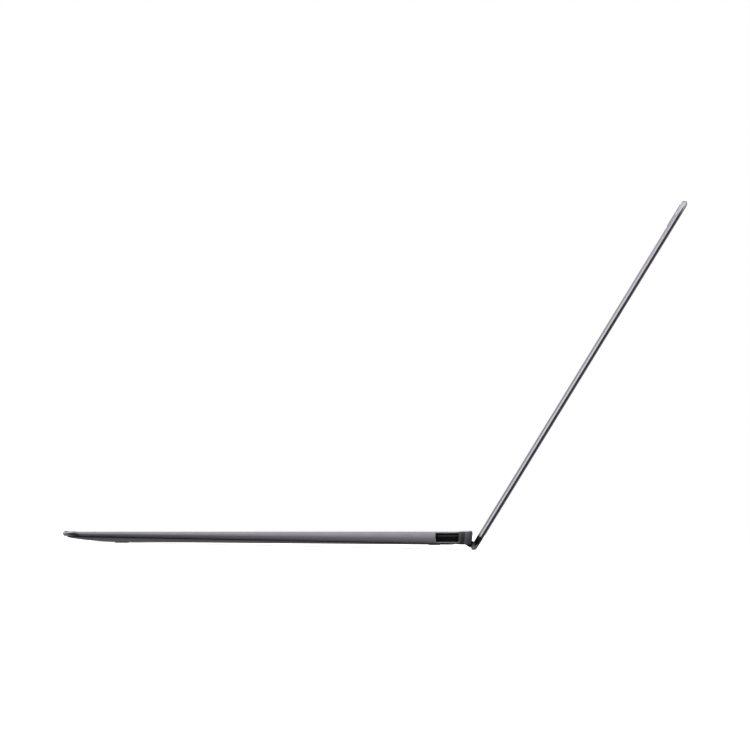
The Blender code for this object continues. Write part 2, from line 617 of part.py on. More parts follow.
# ---- inside the base
def make_inside(base, looks):
    """Mainboard, battery, cooling, speakers, drive and bottom screws."""
    front, rear = FRAME_FRONT + 3.0, CAVITY_REAR_Y - 3.0
    arm_rear = FAN_Y - FAN_RADIUS - 3.0
    narrow, wide = FAN_X - FAN_RADIUS - BOARD_MARGIN, FRAME_HALF - BOARD_MARGIN
    outline = [(-wide, front), (wide, front), (wide, arm_rear), (narrow, arm_rear), (narrow, rear),
               (-narrow, rear), (-narrow, arm_rear), (-wide, arm_rear)]
    prism("mainboard", outline, BOARD_BOTTOM, BOARD_TOP, "Z", base, looks["board"])
    below = BOARD_BOTTOM - FIT_GAP
    boxes("storage_drive", [
        ((-narrow + 6.0, front + 20.0, below - DRIVE_THICKNESS),
         (-narrow + 6.0 + DRIVE_WIDTH, front + 20.0 + DRIVE_LENGTH, below))], base, looks["plastic"])
    pipe_y = rear - 12.0
    boxes("heat_pipe", [
        ((-narrow - BOARD_MARGIN / 2, pipe_y - PIPE_WIDTH / 2, below - PIPE_THICKNESS),
         (narrow + BOARD_MARGIN / 2, pipe_y + PIPE_WIDTH / 2, below))], base, looks["copper"])
    battery_top = KEY_TOP - TOUCHPAD_THICKNESS - TOUCHPAD_DROP - PLATE_THICKNESS - FIT_GAP
    boxes("battery", [
        ((-HALF_WIDTH + 32.0, NOSE_LENGTH, battery_top - BATTERY_THICKNESS),
         (HALF_WIDTH - 32.0, FRAME_FRONT - 4.0, battery_top))], base, looks["plastic"])
    for side_name, side in (("left", -1), ("right", 1)):
        boxes(f"speaker_{side_name}", [
            ((side * SPEAKER_X - SPEAKER_WIDTH / 2, SPEAKER_FRONT, -4.2),
             (side * SPEAKER_X + SPEAKER_WIDTH / 2, SPEAKER_REAR, -DECK_THICKNESS - FIT_GAP))],
            base, looks["plastic"])
        top, bottom = BOARD_TOP, bottom_z(FAN_Y - FAN_RADIUS) + COVER_THICKNESS + FIT_GAP
        centre = (side * FAN_X, FAN_Y)
        housing = rod(f"fan_housing_{side_name}", (*centre, bottom), (*centre, top), FAN_RADIUS, base,
                      looks["plastic"], 32)
        boolean(housing, rod("fan_cavity_cut", (*centre, bottom - 1.0), (*centre, top - FAN_LID),
                             FAN_RADIUS - FAN_WALL, base, sides=32))
        spin = add_empty(f"fan_axis_{side_name}", base, (*centre, 0))
        outline = []
        for blade in range(FAN_BLADES):
            for offset, radius in ((0.0, FAN_HUB_RADIUS), (BLADE_SWEEP, FAN_HUB_RADIUS),
                                   (BLADE_TIP[0], FAN_RADIUS - FAN_TIP_CLEARANCE),
                                   (BLADE_TIP[1], FAN_RADIUS - FAN_TIP_CLEARANCE)):
                angle = 2 * math.pi * (blade + offset) / FAN_BLADES
                outline.append((radius * math.cos(angle), radius * math.sin(angle)))
        prism(f"fan_rotor_{side_name}", outline, bottom + 0.2, top - FAN_LID - FIT_GAP, "Z", spin,
              looks["plastic"])
    for number, (x, y) in enumerate(SCREW_PLACES, 1):
        rod(f"bottom_screw_{number}", (x, y, bottom_z(y) + 0.1), (x, y, bottom_z(y) + COVER_THICKNESS),
            SCREW_RADIUS, base, looks["steel"], 16)


# ---- hinge
def make_hinge(base, lid, looks):
    """Brackets held in the ears, and the shafts that turn in them with the lid."""
    for side_name, side in (("left", -1), ("right", 1)):
        near, far = sorted((side * (EAR_INNER_X + 1.4), side * (EAR_INNER_X + 1.4 + BRACKET_LENGTH)))
        bracket = boxes(f"hinge_bracket_{side_name}", [
            ((near, HINGE_Y - 2.6, -HINGE_DEPTH - 2.4), (far, HINGE_Y + 2.0, -HINGE_DEPTH + 2.0))],
            base, looks["steel"])
        boolean(bracket, rod("bracket_bore_cut", (near - 1.0, HINGE_Y, -HINGE_DEPTH),
                             (far + 1.0, HINGE_Y, -HINGE_DEPTH), SHAFT_RADIUS + SHAFT_CLEARANCE, base))
        inner, outer = side * (EAR_INNER_X - 9.0), side * (EAR_INNER_X + EAR_SKIN - 0.2 + BRACKET_LENGTH)
        rod(f"hinge_shaft_{side_name}", (inner, 0, 0), (outer, 0, 0), SHAFT_RADIUS, lid, looks["steel"], 20)


def make_hinge_cover(lid, looks):
    """The long cover that joins the lid to the hinge: a round barrel with a neck up to the lid."""
    half = EAR_INNER_X - BARREL_CLEARANCE
    outline = []
    steps = 18
    sweep = 2 * math.pi - math.acos(-NECK_SETBACK / BARREL_RADIUS)
    for step in range(steps + 1):
        angle = -sweep * step / steps
        outline.append((BARREL_RADIUS * math.cos(angle), BARREL_RADIUS * math.sin(angle)))
    top = LID_INNER - CLOSE_GAP
    outline += [(-NECK_SETBACK, top), (BARREL_RADIUS, top)]
    cover = prism("hinge_cover", outline, -half, half, "X", lid, looks["frame"], smooth=True)
    for side in (-1, 1):
        boolean(cover, rod("cover_bore_cut", (side * (EAR_INNER_X - 10.0), 0, 0),
                           (side * (EAR_INNER_X + 1.0), 0, 0), SHAFT_RADIUS + CLOSE_GAP, lid))
    return cover


# ---- lid
def lid_outline(side, front, rear, radius=CORNER_RADIUS):
    """The lid's plan outline in the closed lid's frame, set in at its sides, front and rear."""
    return rounded_outline(-HALF_WIDTH + side, HALF_WIDTH - side, LID_FRONT + front, LID_TAIL - rear, radius)


def make_lid(lid, looks):
    """Lid cover, display panel, glass, webcam module, bumper strip and lower pads."""
    bm = bmesh.new()
    tray_rear = LID_TAIL + CHIN_LENGTH
    inner = lid_outline(LID_RIM, LID_RIM, tray_rear, CORNER_RADIUS - LID_RIM)
    rings = [
        ring_at(bm, inner, LID_OUTER - LID_SKIN),
        ring_at(bm, inner, LID_INNER),
        ring_at(bm, lid_outline(0.4, 0.4, 0.15), LID_INNER),
        ring_at(bm, lid_outline(0.0, 0.0, 0.0), LID_INNER + 0.4),
        ring_at(bm, lid_outline(0.0, 0.1, 0.0), LID_INNER + 1.6),
        ring_at(bm, lid_outline(0.35, 1.2, 0.2), LID_OUTER - 0.85),
        ring_at(bm, lid_outline(1.6, 5.0, 3.8), LID_OUTER),
    ]
    close_rings(bm, rings)
    cover = add_object("lid_cover", bm, lid, looks["shell"], smooth=True)
    pad_low, pad_high = LID_INNER + 0.9, LID_OUTER - 1.15
    for side_name, side in (("left", -1), ("right", 1)):
        near, far = sorted((side * FEET_X - LID_PAD_LENGTH / 2, side * FEET_X + LID_PAD_LENGTH / 2))
        boolean(cover, boxes("lid_pad_cut", [
            ((near - CLOSE_GAP, LID_TAIL - 0.7, pad_low - CLOSE_GAP),
             (far + CLOSE_GAP, LID_TAIL + 2.0, pad_high + CLOSE_GAP))], lid))
        boxes(f"lid_pad_{side_name}", [
            ((near, LID_TAIL - 0.7 + CLOSE_GAP, pad_low), (far, LID_TAIL + LID_PAD_PROUD, pad_high))],
            lid, looks["rubber"])

    fit = LID_RIM + FIT_GAP
    glass_bottom = LID_INNER + 0.1
    panel_bottom = glass_bottom + GLASS_THICKNESS + CLOSE_GAP
    prism("display_glass", lid_outline(fit, fit, tray_rear + FIT_GAP, CORNER_RADIUS - fit),
          glass_bottom, glass_bottom + GLASS_THICKNESS, "Z", lid, looks["glass"])
    boxes("display_panel", [
        ((-HALF_WIDTH + PANEL_BORDER, LID_FRONT + CAMERA_SPACE, panel_bottom),
         (HALF_WIDTH - PANEL_BORDER, LID_TAIL - tray_rear - PANEL_FOOT, panel_bottom + PANEL_THICKNESS))],
        lid, looks["plastic"])
    boxes("webcam_module", [
        ((-CAMERA_HALF_WIDTH, LID_FRONT + LID_RIM + 1.1, panel_bottom),
         (CAMERA_HALF_WIDTH, LID_FRONT + CAMERA_SPACE - 0.6, panel_bottom + PANEL_THICKNESS))],
        lid, looks["board"])
    bead = rounded_outline(LID_FRONT + BUMPER_INSET, LID_FRONT + BUMPER_INSET + BUMPER_WIDTH,
                           LID_INNER - BUMPER_PROUD, LID_INNER - BUMPER_SINK, BUMPER_PROUD * 0.42, 3)
    prism("lid_bumper", bead, -HALF_WIDTH + BUMPER_SHORT, HALF_WIDTH - BUMPER_SHORT, "X", lid,
          looks["rubber"], smooth=True)


# ---- how the laptop stands
def lid_point_at_rest(toward_front, height):
    """(y, z) in the base's frame of a point of the open lid, given in the closed lid's frame."""
    turn = math.radians(-LID_OPEN_DEG)
    y, z = -toward_front, height
    return (HINGE_Y + y * math.cos(turn) - z * math.sin(turn),
            -HINGE_DEPTH + y * math.sin(turn) + z * math.cos(turn))


PAD_EDGE = lid_point_at_rest(-LID_TAIL - LID_PAD_PROUD, LID_OUTER - 1.15)
FOOT_SOLE = (FRONT_FOOT_Y, bottom_z(FRONT_FOOT_Y) - FRONT_FOOT_HEIGHT)
LEAN = math.atan2(FOOT_SOLE[1] - PAD_EDGE[1], PAD_EDGE[0] - FOOT_SOLE[0])
LID_TOP_EDGE = lid_point_at_rest(-LID_FRONT - 0.1, LID_INNER + 1.6)


def leaned(point):
    """A (y, z) point of the base's frame, turned by the laptop's lean."""
    y, z = point
    return (y * math.cos(LEAN) - z * math.sin(LEAN), y * math.sin(LEAN) + z * math.cos(LEAN))


def main():
    """Build the laptop on an empty scene."""
    for obj in list(bpy.data.objects):
        bpy.data.objects.remove(obj, do_unlink=True)
    looks = make_finishes()
    floor = leaned(FOOT_SOLE)[1]
    front = leaned((0.0, (seam_z(0.0) - EDGE_CHAMFER) / 2))[0]
    back = leaned(LID_TOP_EDGE)[0]
    base = add_empty("stance", None, (0, -(front + back) / 2, -floor))
    base.rotation_euler.x = LEAN
    lid = add_empty("lid_pivot", base, (0, HINGE_Y, -HINGE_DEPTH))
    lid.rotation_euler.x = math.radians(-LID_OPEN_DEG)
    make_top_case(base, looks)
    make_bottom_cover(base, looks)
    make_feet(base, looks)
    make_keyboard(base, looks)
    make_touchpad(base, looks)
    make_power_button(base, looks)
    make_sockets(base, looks)
    make_inside(base, looks)
    make_hinge(base, lid, looks)
    make_hinge_cover(lid, looks)
    make_lid(lid, looks)


main()
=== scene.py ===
"""Looks of the open laptop computer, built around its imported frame.

Every sub-assembly is a class whose fields are its sizes in millimetres. Shapes are drawn in the frame of
the base (Z = 0 on the deck, Y = 0 at the front edge) or of the closed lid (origin on the hinge axis), and
are placed in the world when they are finished.
"""
import json
import logging
import math
from contextlib import contextmanager
from dataclasses import dataclass, field
from enum import Enum
from typing import Callable, Iterable, Iterator, Sequence

import bmesh
import bpy
from mathutils import Matrix, Vector


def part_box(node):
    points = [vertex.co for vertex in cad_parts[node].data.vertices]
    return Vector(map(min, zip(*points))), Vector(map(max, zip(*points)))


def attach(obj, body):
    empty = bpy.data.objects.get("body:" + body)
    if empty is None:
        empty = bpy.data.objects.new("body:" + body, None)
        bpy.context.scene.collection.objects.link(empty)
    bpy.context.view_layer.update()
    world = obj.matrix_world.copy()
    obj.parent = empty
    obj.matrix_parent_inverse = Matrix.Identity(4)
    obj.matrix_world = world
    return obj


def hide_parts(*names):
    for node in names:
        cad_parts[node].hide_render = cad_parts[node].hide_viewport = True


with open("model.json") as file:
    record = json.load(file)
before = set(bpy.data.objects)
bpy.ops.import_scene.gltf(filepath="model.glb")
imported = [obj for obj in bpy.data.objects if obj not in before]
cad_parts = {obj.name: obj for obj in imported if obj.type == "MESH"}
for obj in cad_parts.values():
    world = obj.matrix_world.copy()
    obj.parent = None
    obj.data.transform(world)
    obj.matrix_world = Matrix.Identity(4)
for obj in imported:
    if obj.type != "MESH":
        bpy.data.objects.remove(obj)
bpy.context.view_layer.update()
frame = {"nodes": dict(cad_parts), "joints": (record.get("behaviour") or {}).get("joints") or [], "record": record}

MM = 0.001
CUT_OVER = 1.0
Point2 = tuple[float, float]
Outline = list[Point2]
OutlineAt = Callable[[float], Outline]
Height = float | Callable[[float], float]
Colour = tuple[float, float, float]
Socket = bpy.types.NodeSocket

logging.basicConfig(level=logging.INFO, format="%(levelname)s %(message)s")
log = logging.getLogger("laptop")


# ---------------------------------------------------------------- node helpers
class Graph:
    """A node tree, at first a material's, with short ways to add and join nodes."""

    def __init__(self, name: str) -> None:
        """Start a material with a Principled shader.

        Args:
            name: The material's name.
        """
        self.material = bpy.data.materials.new(name)
        self.material.use_nodes = True
        self.tree = self.material.node_tree
        self.shader = self.tree.nodes["Principled BSDF"]

    def node(self, kind: str, inputs: dict[str | int, object] | None = None,
             **settings: object) -> bpy.types.Node:
        """Add a node.

        Args:
            kind: Blender's node type.
            inputs: Values or sockets for its inputs, by name or number.
            settings: Attributes to set on the node.

        Returns:
            The new node.
        """
        made = self.tree.nodes.new(kind)
        for key, value in settings.items():
            setattr(made, key, value)
        for key, value in (inputs or {}).items():
            self.feed(made.inputs[key], value)
        return made

    def feed(self, socket: Socket, value: object) -> None:
        """Link a socket to another, or set its own value.

        Args:
            socket: The input to feed.
            value: An output socket, or a plain value.
        """
        if isinstance(value, Socket):
            self.tree.links.new(value, socket)
        else:
            socket.default_value = value

    def coordinates(self, scale: Sequence[float] = (1.0, 1.0, 1.0)) -> Socket:
        """Object coordinates, stretched.

        Args:
            scale: Factors along X, Y and Z.

        Returns:
            The mapped vector.
        """
        source = self.node("ShaderNodeTexCoord")
        mapping = self.node("ShaderNodeMapping", {"Vector": source.outputs["Object"], "Scale": scale})
        return mapping.outputs["Vector"]

    def noise(self, vector: Socket, scale: float, detail: float = 3.0,
              roughness: float = 0.5) -> Socket:
        """A noise value between 0 and 1.

        Args:
            vector: Where to read it.
            scale: Features per metre.
            detail: Octaves.
            roughness: Share of the finer octaves.

        Returns:
            The noise factor.
        """
        made = self.node("ShaderNodeTexNoise", {
            "Vector": vector, "Scale": scale, "Detail": detail, "Roughness": roughness})
        return made.outputs["Fac"]

    def between(self, factor: Socket, low: float, high: float,
                start: float = 0.3, stop: float = 0.7) -> Socket:
        """Map a factor to a range of values.

        Args:
            factor: The value to map.
            low: Result at start.
            high: Result at stop.
            start: Where the range starts.
            stop: Where it stops.

        Returns:
            The mapped value.
        """
        made = self.node("ShaderNodeMapRange", {
            "Value": factor, "From Min": start, "From Max": stop, "To Min": low, "To Max": high})
        return made.outputs["Result"]

    def tint(self, factor: Socket | float, first: Colour | Socket, second: Colour | Socket) -> Socket:
        """Mix two colours.

        Args:
            factor: 0 for the first colour, 1 for the second.
            first: A linear colour.
            second: Another.

        Returns:
            The mixed colour.
        """
        first, second = (c if isinstance(c, Socket) else (*c, 1.0) for c in (first, second))
        return self.node("ShaderNodeMix", {0: factor, 6: first, 7: second}, data_type="RGBA").outputs[2]

    def bump(self, height: Socket, strength: float, distance: float) -> Socket:
        """A normal from a height.

        Args:
            height: The height factor.
            strength: Share of the effect.
            distance: Height in metres of a full factor.

        Returns:
            The normal.
        """
        made = self.node("ShaderNodeBump", {"Height": height, "Strength": strength, "Distance": distance})
        return made.outputs["Normal"]

    def finish(self, **inputs: object) -> bpy.types.Material:
        """Feed the shader.

        Args:
            inputs: Values or sockets by the shader's input names, with underscores for spaces.

        Returns:
            The material.
        """
        for key, value in inputs.items():
            self.feed(self.shader.inputs[key.replace("_", " ")], value)
        return self.material


class Sky(Graph):
    """A world's node tree: plain white to the camera, and drawn for everything that mirrors it."""

    def __init__(self, name: str) -> None:
        """Start a world and make it the scene's.

        Args:
            name: The world's name.
        """
        world = bpy.data.worlds.new(name)
        bpy.context.scene.world = world
        world.use_nodes = True
        self.tree = world.node_tree
        self.tree.nodes.clear()

    def curve(self, factor: Socket, stops: Sequence[Point2]) -> Socket:
        """A brightness that runs through stops.

        Args:
            factor: A factor from 0 to 1.
            stops: Places and brightnesses.

        Returns:
            The brightness.
        """
        made = self.node("ShaderNodeValToRGB", {"Fac": factor})
        marks = made.color_ramp.elements
        for number, (place, level) in enumerate(stops):
            mark = marks[number] if number < 2 else marks.new(place)
            mark.position, mark.color = place, (level, level, level, 1.0)
        return self.node("ShaderNodeRGBToBW", {"Color": made.outputs["Color"]}).outputs["Val"]

    def reckon(self, operation: str, *values: Socket) -> Socket:
        """The result of a sum on one or two values."""
        return self.node("ShaderNodeMath", dict(enumerate(values)), operation=operation).outputs[0]

    def shine(self, strength: Socket) -> None:
        """Close the tree: white to the camera, the given strength to all else.

        Args:
            strength: Brightness of what the laptop mirrors.
        """
        light = self.node("ShaderNodeBackground", {"Color": (1.0, 0.99, 1.0, 1.0), "Strength": strength})
        plain = self.node("ShaderNodeBackground", {"Color": (1.0, 1.0, 1.0, 1.0)})
        mixed = self.node("ShaderNodeMixShader", {
            0: self.node("ShaderNodeLightPath").outputs["Is Camera Ray"],
            1: light.outputs[0], 2: plain.outputs[0]})
        self.node("ShaderNodeOutputWorld", {"Surface": mixed.outputs[0]})


def shade(colour: Colour, factor: float) -> Colour:
    """A colour made lighter or darker by a factor."""
    return tuple(channel * factor for channel in colour)


# ---------------------------------------------------------------- finishes
@dataclass(frozen=True)
class BlastedMetal:
    """Bead-blasted, anodised aluminium: a fine even grain with a soft sparkle."""

    name: str
    colour: Colour = (0.36, 0.345, 0.385)
    roughness: float = 0.36
    metal: float = 1.0
    grain: float = 5200.0

    def material(self) -> bpy.types.Material:
        """Build the material.

        Returns:
            The material.
        """
        graph = Graph(self.name)
        place = graph.coordinates()
        fine = graph.noise(place, self.grain, 2.0)
        broad = graph.noise(place, 14.0, 2.0)
        cloud = graph.noise(place, 240.0, 3.0)
        colour = graph.tint(graph.between(broad, 0.0, 1.0),
                            shade(self.colour, 0.97), shade(self.colour, 1.03))
        speck = graph.tint(fine, shade(self.colour, 0.94), shade(self.colour, 1.06))
        return graph.finish(Base_Color=graph.tint(0.5, colour, speck), Metallic=self.metal,
                            Roughness=graph.between(cloud, self.roughness - 0.02, self.roughness + 0.03),
                            Normal=graph.bump(fine, 0.16, 0.00002))


@dataclass(frozen=True)
class PolishedEdge:
    """A diamond-cut edge: bright bare metal with faint marks along the cut."""

    name: str
    colour: Colour = (0.60, 0.59, 0.62)
    roughness: float = 0.16

    def material(self) -> bpy.types.Material:
        """Build the material.

        Returns:
            The material.
        """
        graph = Graph(self.name)
        marks = graph.noise(graph.coordinates((90.0, 90.0, 9000.0)), 1.0, 3.0)
        colour = graph.tint(marks, shade(self.colour, 0.95), shade(self.colour, 1.04))
        return graph.finish(Base_Color=colour, Metallic=1.0,
                            Roughness=graph.between(marks, self.roughness, self.roughness + 0.06),
                            Normal=graph.bump(marks, 0.05, 0.00001))


@dataclass(frozen=True)
class BrushedMetal:
    """Sheet metal with a brushed grain along one axis."""

    name: str
    colour: Colour = (0.56, 0.56, 0.57)
    stretch: Sequence[float] = (40.0, 4000.0, 4000.0)
    roughness: float = 0.3

    def material(self) -> bpy.types.Material:
        """Build the material.

        Returns:
            The material.
        """
        graph = Graph(self.name)
        strokes = graph.noise(graph.coordinates(self.stretch), 1.0, 4.0, 0.6)
        colour = graph.tint(strokes, shade(self.colour, 0.86), shade(self.colour, 1.1))
        return graph.finish(Base_Color=colour, Metallic=1.0,
                            Roughness=graph.between(strokes, self.roughness - 0.06, self.roughness + 0.1),
                            Normal=graph.bump(strokes, 0.15, 0.00002))


@dataclass(frozen=True)
class MouldedPlastic:
    """Dark moulded plastic with a spark-eroded texture and a faint sheen from handling."""

    name: str
    colour: Colour = (0.014, 0.014, 0.016)
    roughness: float = 0.5
    texture: float = 3600.0
    depth: float = 0.00003

    def material(self) -> bpy.types.Material:
        """Build the material.

        Returns:
            The material.
        """
        graph = Graph(self.name)
        place = graph.coordinates()
        pits = graph.noise(place, self.texture, 2.0, 0.6)
        hands = graph.noise(place, 60.0, 3.0)
        colour = graph.tint(graph.between(hands, 0.0, 1.0),
                            shade(self.colour, 0.86), shade(self.colour, 1.2))
        return graph.finish(Base_Color=colour, Normal=graph.bump(pits, 0.3, self.depth),
                            Roughness=graph.between(hands, self.roughness - 0.05, self.roughness + 0.07))


@dataclass(frozen=True)
class Rubber:
    """Matt black rubber with a fine grain and dust in it."""

    name: str
    colour: Colour = (0.018, 0.018, 0.018)

    def material(self) -> bpy.types.Material:
        """Build the material.

        Returns:
            The material.
        """
        graph = Graph(self.name)
        place = graph.coordinates()
        grain = graph.noise(place, 2600.0, 3.0, 0.7)
        dust = graph.noise(place, 300.0, 4.0, 0.7)
        colour = graph.tint(graph.between(dust, 0.0, 1.0, 0.5, 0.8), self.colour, shade(self.colour, 2.2))
        return graph.finish(Base_Color=colour, Roughness=graph.between(grain, 0.72, 0.88),
                            Specular_IOR_Level=0.3, Normal=graph.bump(grain, 0.5, 0.00006))


@dataclass(frozen=True)
class ScreenGlass:
    """Glass over a dark screen: a clear gloss with the faintest wipe marks."""

    name: str
    colour: Colour = (0.004, 0.004, 0.005)
    roughness: float = 0.035

    def material(self) -> bpy.types.Material:
        """Build the material.

        Returns:
            The material.
        """
        graph = Graph(self.name)
        wipe = graph.noise(graph.coordinates((9.0, 22.0, 22.0)), 1.0, 4.0, 0.6)
        dots = graph.noise(graph.coordinates(), 6500.0, 1.0)
        colour = graph.tint(dots, shade(self.colour, 0.9), shade(self.colour, 1.12))
        return graph.finish(Base_Color=colour, Coat_Weight=0.4, Coat_Roughness=0.02,
                            Roughness=graph.between(wipe, self.roughness, self.roughness + 0.03))


@dataclass(frozen=True)
class EtchedGlass:
    """Acid-etched touchpad glass: tinted, silky and slightly worn where fingers slide."""

    name: str
    colour: Colour = (0.13, 0.125, 0.142)
    roughness: float = 0.3

    def material(self) -> bpy.types.Material:
        """Build the material.

        Returns:
            The material.
        """
        graph = Graph(self.name)
        place = graph.coordinates()
        etch = graph.noise(place, 8000.0, 1.0)
        wear = graph.noise(place, 22.0, 3.0, 0.6)
        colour = graph.tint(etch, shade(self.colour, 0.985), shade(self.colour, 1.015))
        return graph.finish(Base_Color=colour, Metallic=0.35,
                            Roughness=graph.between(wear, self.roughness - 0.04, self.roughness + 0.04),
                            Coat_Weight=0.25, Coat_Roughness=0.2, Normal=graph.bump(etch, 0.02, 0.00001))


@dataclass(frozen=True)
class CircuitBoard:
    """Solder resist over copper tracks."""

    name: str
    colour: Colour = (0.012, 0.05, 0.03)

    def material(self) -> bpy.types.Material:
        """Build the material.

        Returns:
            The material.
        """
        graph = Graph(self.name)
        tracks = graph.node("ShaderNodeTexBrick", {
            "Vector": graph.coordinates(), "Scale": 260.0, "Mortar Size": 0.04,
            "Color1": (*self.colour, 1.0), "Color2": (*shade(self.colour, 0.8), 1.0),
            "Mortar": (*shade(self.colour, 1.9), 1.0)})
        return graph.finish(Base_Color=tracks.outputs["Color"], Roughness=0.42, Coat_Weight=0.3,
                            Normal=graph.bump(tracks.outputs["Fac"], 0.3, 0.00005))


@dataclass(frozen=True)
class StudioPaper:
    """Pale seamless paper for the floor."""

    name: str
    colour: Colour = (0.86, 0.86, 0.86)
    glow: float = 0.9

    def material(self) -> bpy.types.Material:
        """Build the material.

        Returns:
            The material.
        """
        graph = Graph(self.name)
        fibre = graph.noise(graph.coordinates(), 900.0, 4.0, 0.6)
        colour = graph.tint(fibre, shade(self.colour, 0.995), shade(self.colour, 1.005))
        return graph.finish(Base_Color=colour, Roughness=0.95, Specular_IOR_Level=0.0,
                            Emission_Color=colour, Emission_Strength=self.glow)


class Look(Enum):
    """Every finish of the laptop, each built once."""

    SHELL = BlastedMetal("anodised_shell")
    BACK = BlastedMetal("anodised_back", (0.36, 0.345, 0.385), 0.56, 0.72)
    # The cover's colour is the shell's darkened to about five sixths: painted shade on the underside and the lower
    # flanks.
    COVER = BlastedMetal("anodised_cover_painted_shade", (0.30, 0.288, 0.32), 0.42)
    EDGE = PolishedEdge("diamond_cut_edge", (0.55, 0.54, 0.57))
    STREAK = PolishedEdge("lid_edge_cut", (0.40, 0.39, 0.43), 0.2)
    KEY = MouldedPlastic("key_cap_plastic", (0.016, 0.016, 0.018), 0.46)
    LEGEND = MouldedPlastic("legend_ink", (0.55, 0.55, 0.56), 0.5, 2400.0, 0.00001)
    DARK = MouldedPlastic("dark_plastic", (0.012, 0.012, 0.014), 0.42)
    # Deep black: the socket backs and the audio bore, which are black plastic, and painted shade in the seam under
    # the base, in the air slots and in the USB-A mouth.
    BLACK = MouldedPlastic("deep_black_plastic_and_painted_shade", (0.003, 0.003, 0.0035), 0.6)
    SCREEN = ScreenGlass("screen_glass")
    BORDER = ScreenGlass("border_glass", (0.0015, 0.0015, 0.002), 0.03)
    PAD = EtchedGlass("touchpad_glass")
    RUBBER = Rubber("black_rubber")
    STEEL = BrushedMetal("brushed_steel")
    DIAL = BrushedMetal("turned_button", (0.40, 0.385, 0.42), (900.0, 900.0, 900.0), 0.28)
    GOLD = BrushedMetal("gold_contact", (0.83, 0.60, 0.26), (3000.0, 200.0, 3000.0), 0.22)
    COPPER = BrushedMetal("copper_pipe", (0.72, 0.35, 0.2), (60.0, 3000.0, 3000.0), 0.3)
    BOARD = CircuitBoard("circuit_board")
    LENS = ScreenGlass("camera_lens", (0.01, 0.008, 0.02), 0.02)
    PAPER = StudioPaper("studio_paper")

    @property
    def material(self) -> bpy.types.Material:
        """The built material, made on first use."""
        return bpy.data.materials.get(self.value.name) or self.value.material()


# ---------------------------------------------------------------- drawing shapes
def round_outline(left: float, right: float, front: float, rear: float, radius: float,
                  steps: int = 8) -> Outline:
    """Points of a rectangle with round corners, counter-clockwise seen from above.

    Args:
        left: Lowest X.
        right: Highest X.
        front: Lowest Y.
        rear: Highest Y.
        radius: Corner radius.
        steps: Segments in each corner.

    Returns:
        The points.
    """
    radius = max(min(radius, (right - left) / 2 - 0.001, (rear - front) / 2 - 0.001), 0.01)
    centres = ((right - radius, rear - radius, 0), (left + radius, rear - radius, 90),
               (left + radius, front + radius, 180), (right - radius, front + radius, 270))
    points = []
    for x, y, start in centres:
        for step in range(steps + 1):
            angle = math.radians(start + 90 * step / steps)
            points.append((x + radius * math.cos(angle), y + radius * math.sin(angle)))
    return points


def inset_by(left: float, right: float, front: float, rear: float, radius: float, steps: int = 8,
             follow: float = 0.0) -> OutlineAt:
    """A rectangle with round corners that can be set in by any amount.

    Args:
        left: Lowest X.
        right: Highest X.
        front: Lowest Y.
        rear: Highest Y.
        radius: Corner radius.
        steps: Segments in each corner.
        follow: How much of the inset the corner radius loses.

    Returns:
        A function from the inset to the points.
    """
    return lambda inset: round_outline(left + inset, right - inset, front + inset, rear - inset,
                                       radius - follow * inset, steps)


def circle_outline(x: float, y: float, radius: float, sides: int = 48) -> Outline:
    """Points of a circle, counter-clockwise."""
    return [(x + radius * math.cos(2 * math.pi * i / sides), y + radius * math.sin(2 * math.pi * i / sides))
            for i in range(sides)]


class Loft:
    """Rings of equal length joined by bands, each band with its own finish."""

    def __init__(self, axis: str = "Z") -> None:
        """Start an empty loft.

        Args:
            axis: The axis that the rings are stacked along, X or Z. An outline along X gives Y and Z.
        """
        self.bm = bmesh.new()
        self.axis = axis
        self.last: list[bmesh.types.BMVert] = []
        self.first: list[bmesh.types.BMVert] = []

    def ring(self, outline: Iterable[Point2], height: Height, finish: int = 0) -> "Loft":
        """Add a ring and the band from the ring before it.

        Args:
            outline: The ring's points.
            height: Its place on the loft's axis, a number or a function of the second coordinate.
            finish: Material index of the band below this ring.

        Returns:
            The loft.
        """
        ring = []
        for a, b in outline:
            level = height(b) if callable(height) else height
            ring.append(self.bm.verts.new((a, b, level) if self.axis == "Z" else (level, a, b)))
        if self.last:
            for i, low in enumerate(self.last):
                j = (i + 1) % len(self.last)
                face = self.bm.faces.new((low, self.last[j], ring[j], ring[i]))
                face.material_index = finish
        else:
            self.first = ring
        self.last = ring
        return self

    def turned(self, middle: Point2, sides: int, stops: Sequence[Sequence[float]]) -> "Loft":
        """Add round rings about a middle.

        Args:
            middle: The circles' centre.
            sides: Points in each circle.
            stops: Radius, place along the axis and, where it isn't 0, finish of each ring.

        Returns:
            The loft.
        """
        for radius, level, *finish in stops:
            self.ring(circle_outline(*middle, radius, sides), level, *finish)
        return self

    def close(self, first: int = 0, last: int = 0) -> bmesh.types.BMesh:
        """Cap both ends.

        Args:
            first: Material index of the first cap.
            last: Material index of the last cap.

        Returns:
            The finished bmesh.
        """
        self.bm.faces.new(self.first).material_index = first
        self.bm.faces.new(self.last).material_index = last
        return self.bm


def slab(outline_at: OutlineAt, low: float, high: float, bevel: float,
         axis: str = "Z", steps: int = 3) -> bmesh.types.BMesh:
    """A plate with rounded edges.

    Args:
        outline_at: Gives the outline set in by an amount.
        low: Lower face.
        high: Upper face.
        bevel: Radius of its edges.
        axis: The axis along its thickness.
        steps: Segments in each rounded edge.

    Returns:
        The bmesh.
    """
    loft = Loft(axis)
    turns = [math.pi / 2 * i / steps for i in range(steps + 1)]
    for turn in turns:
        loft.ring(outline_at(bevel * (1 - math.sin(turn))), low + bevel * (1 - math.cos(turn)))
    for turn in reversed(turns):
        loft.ring(outline_at(bevel * (1 - math.sin(turn))), high - bevel * (1 - math.cos(turn)))
    return loft.close()


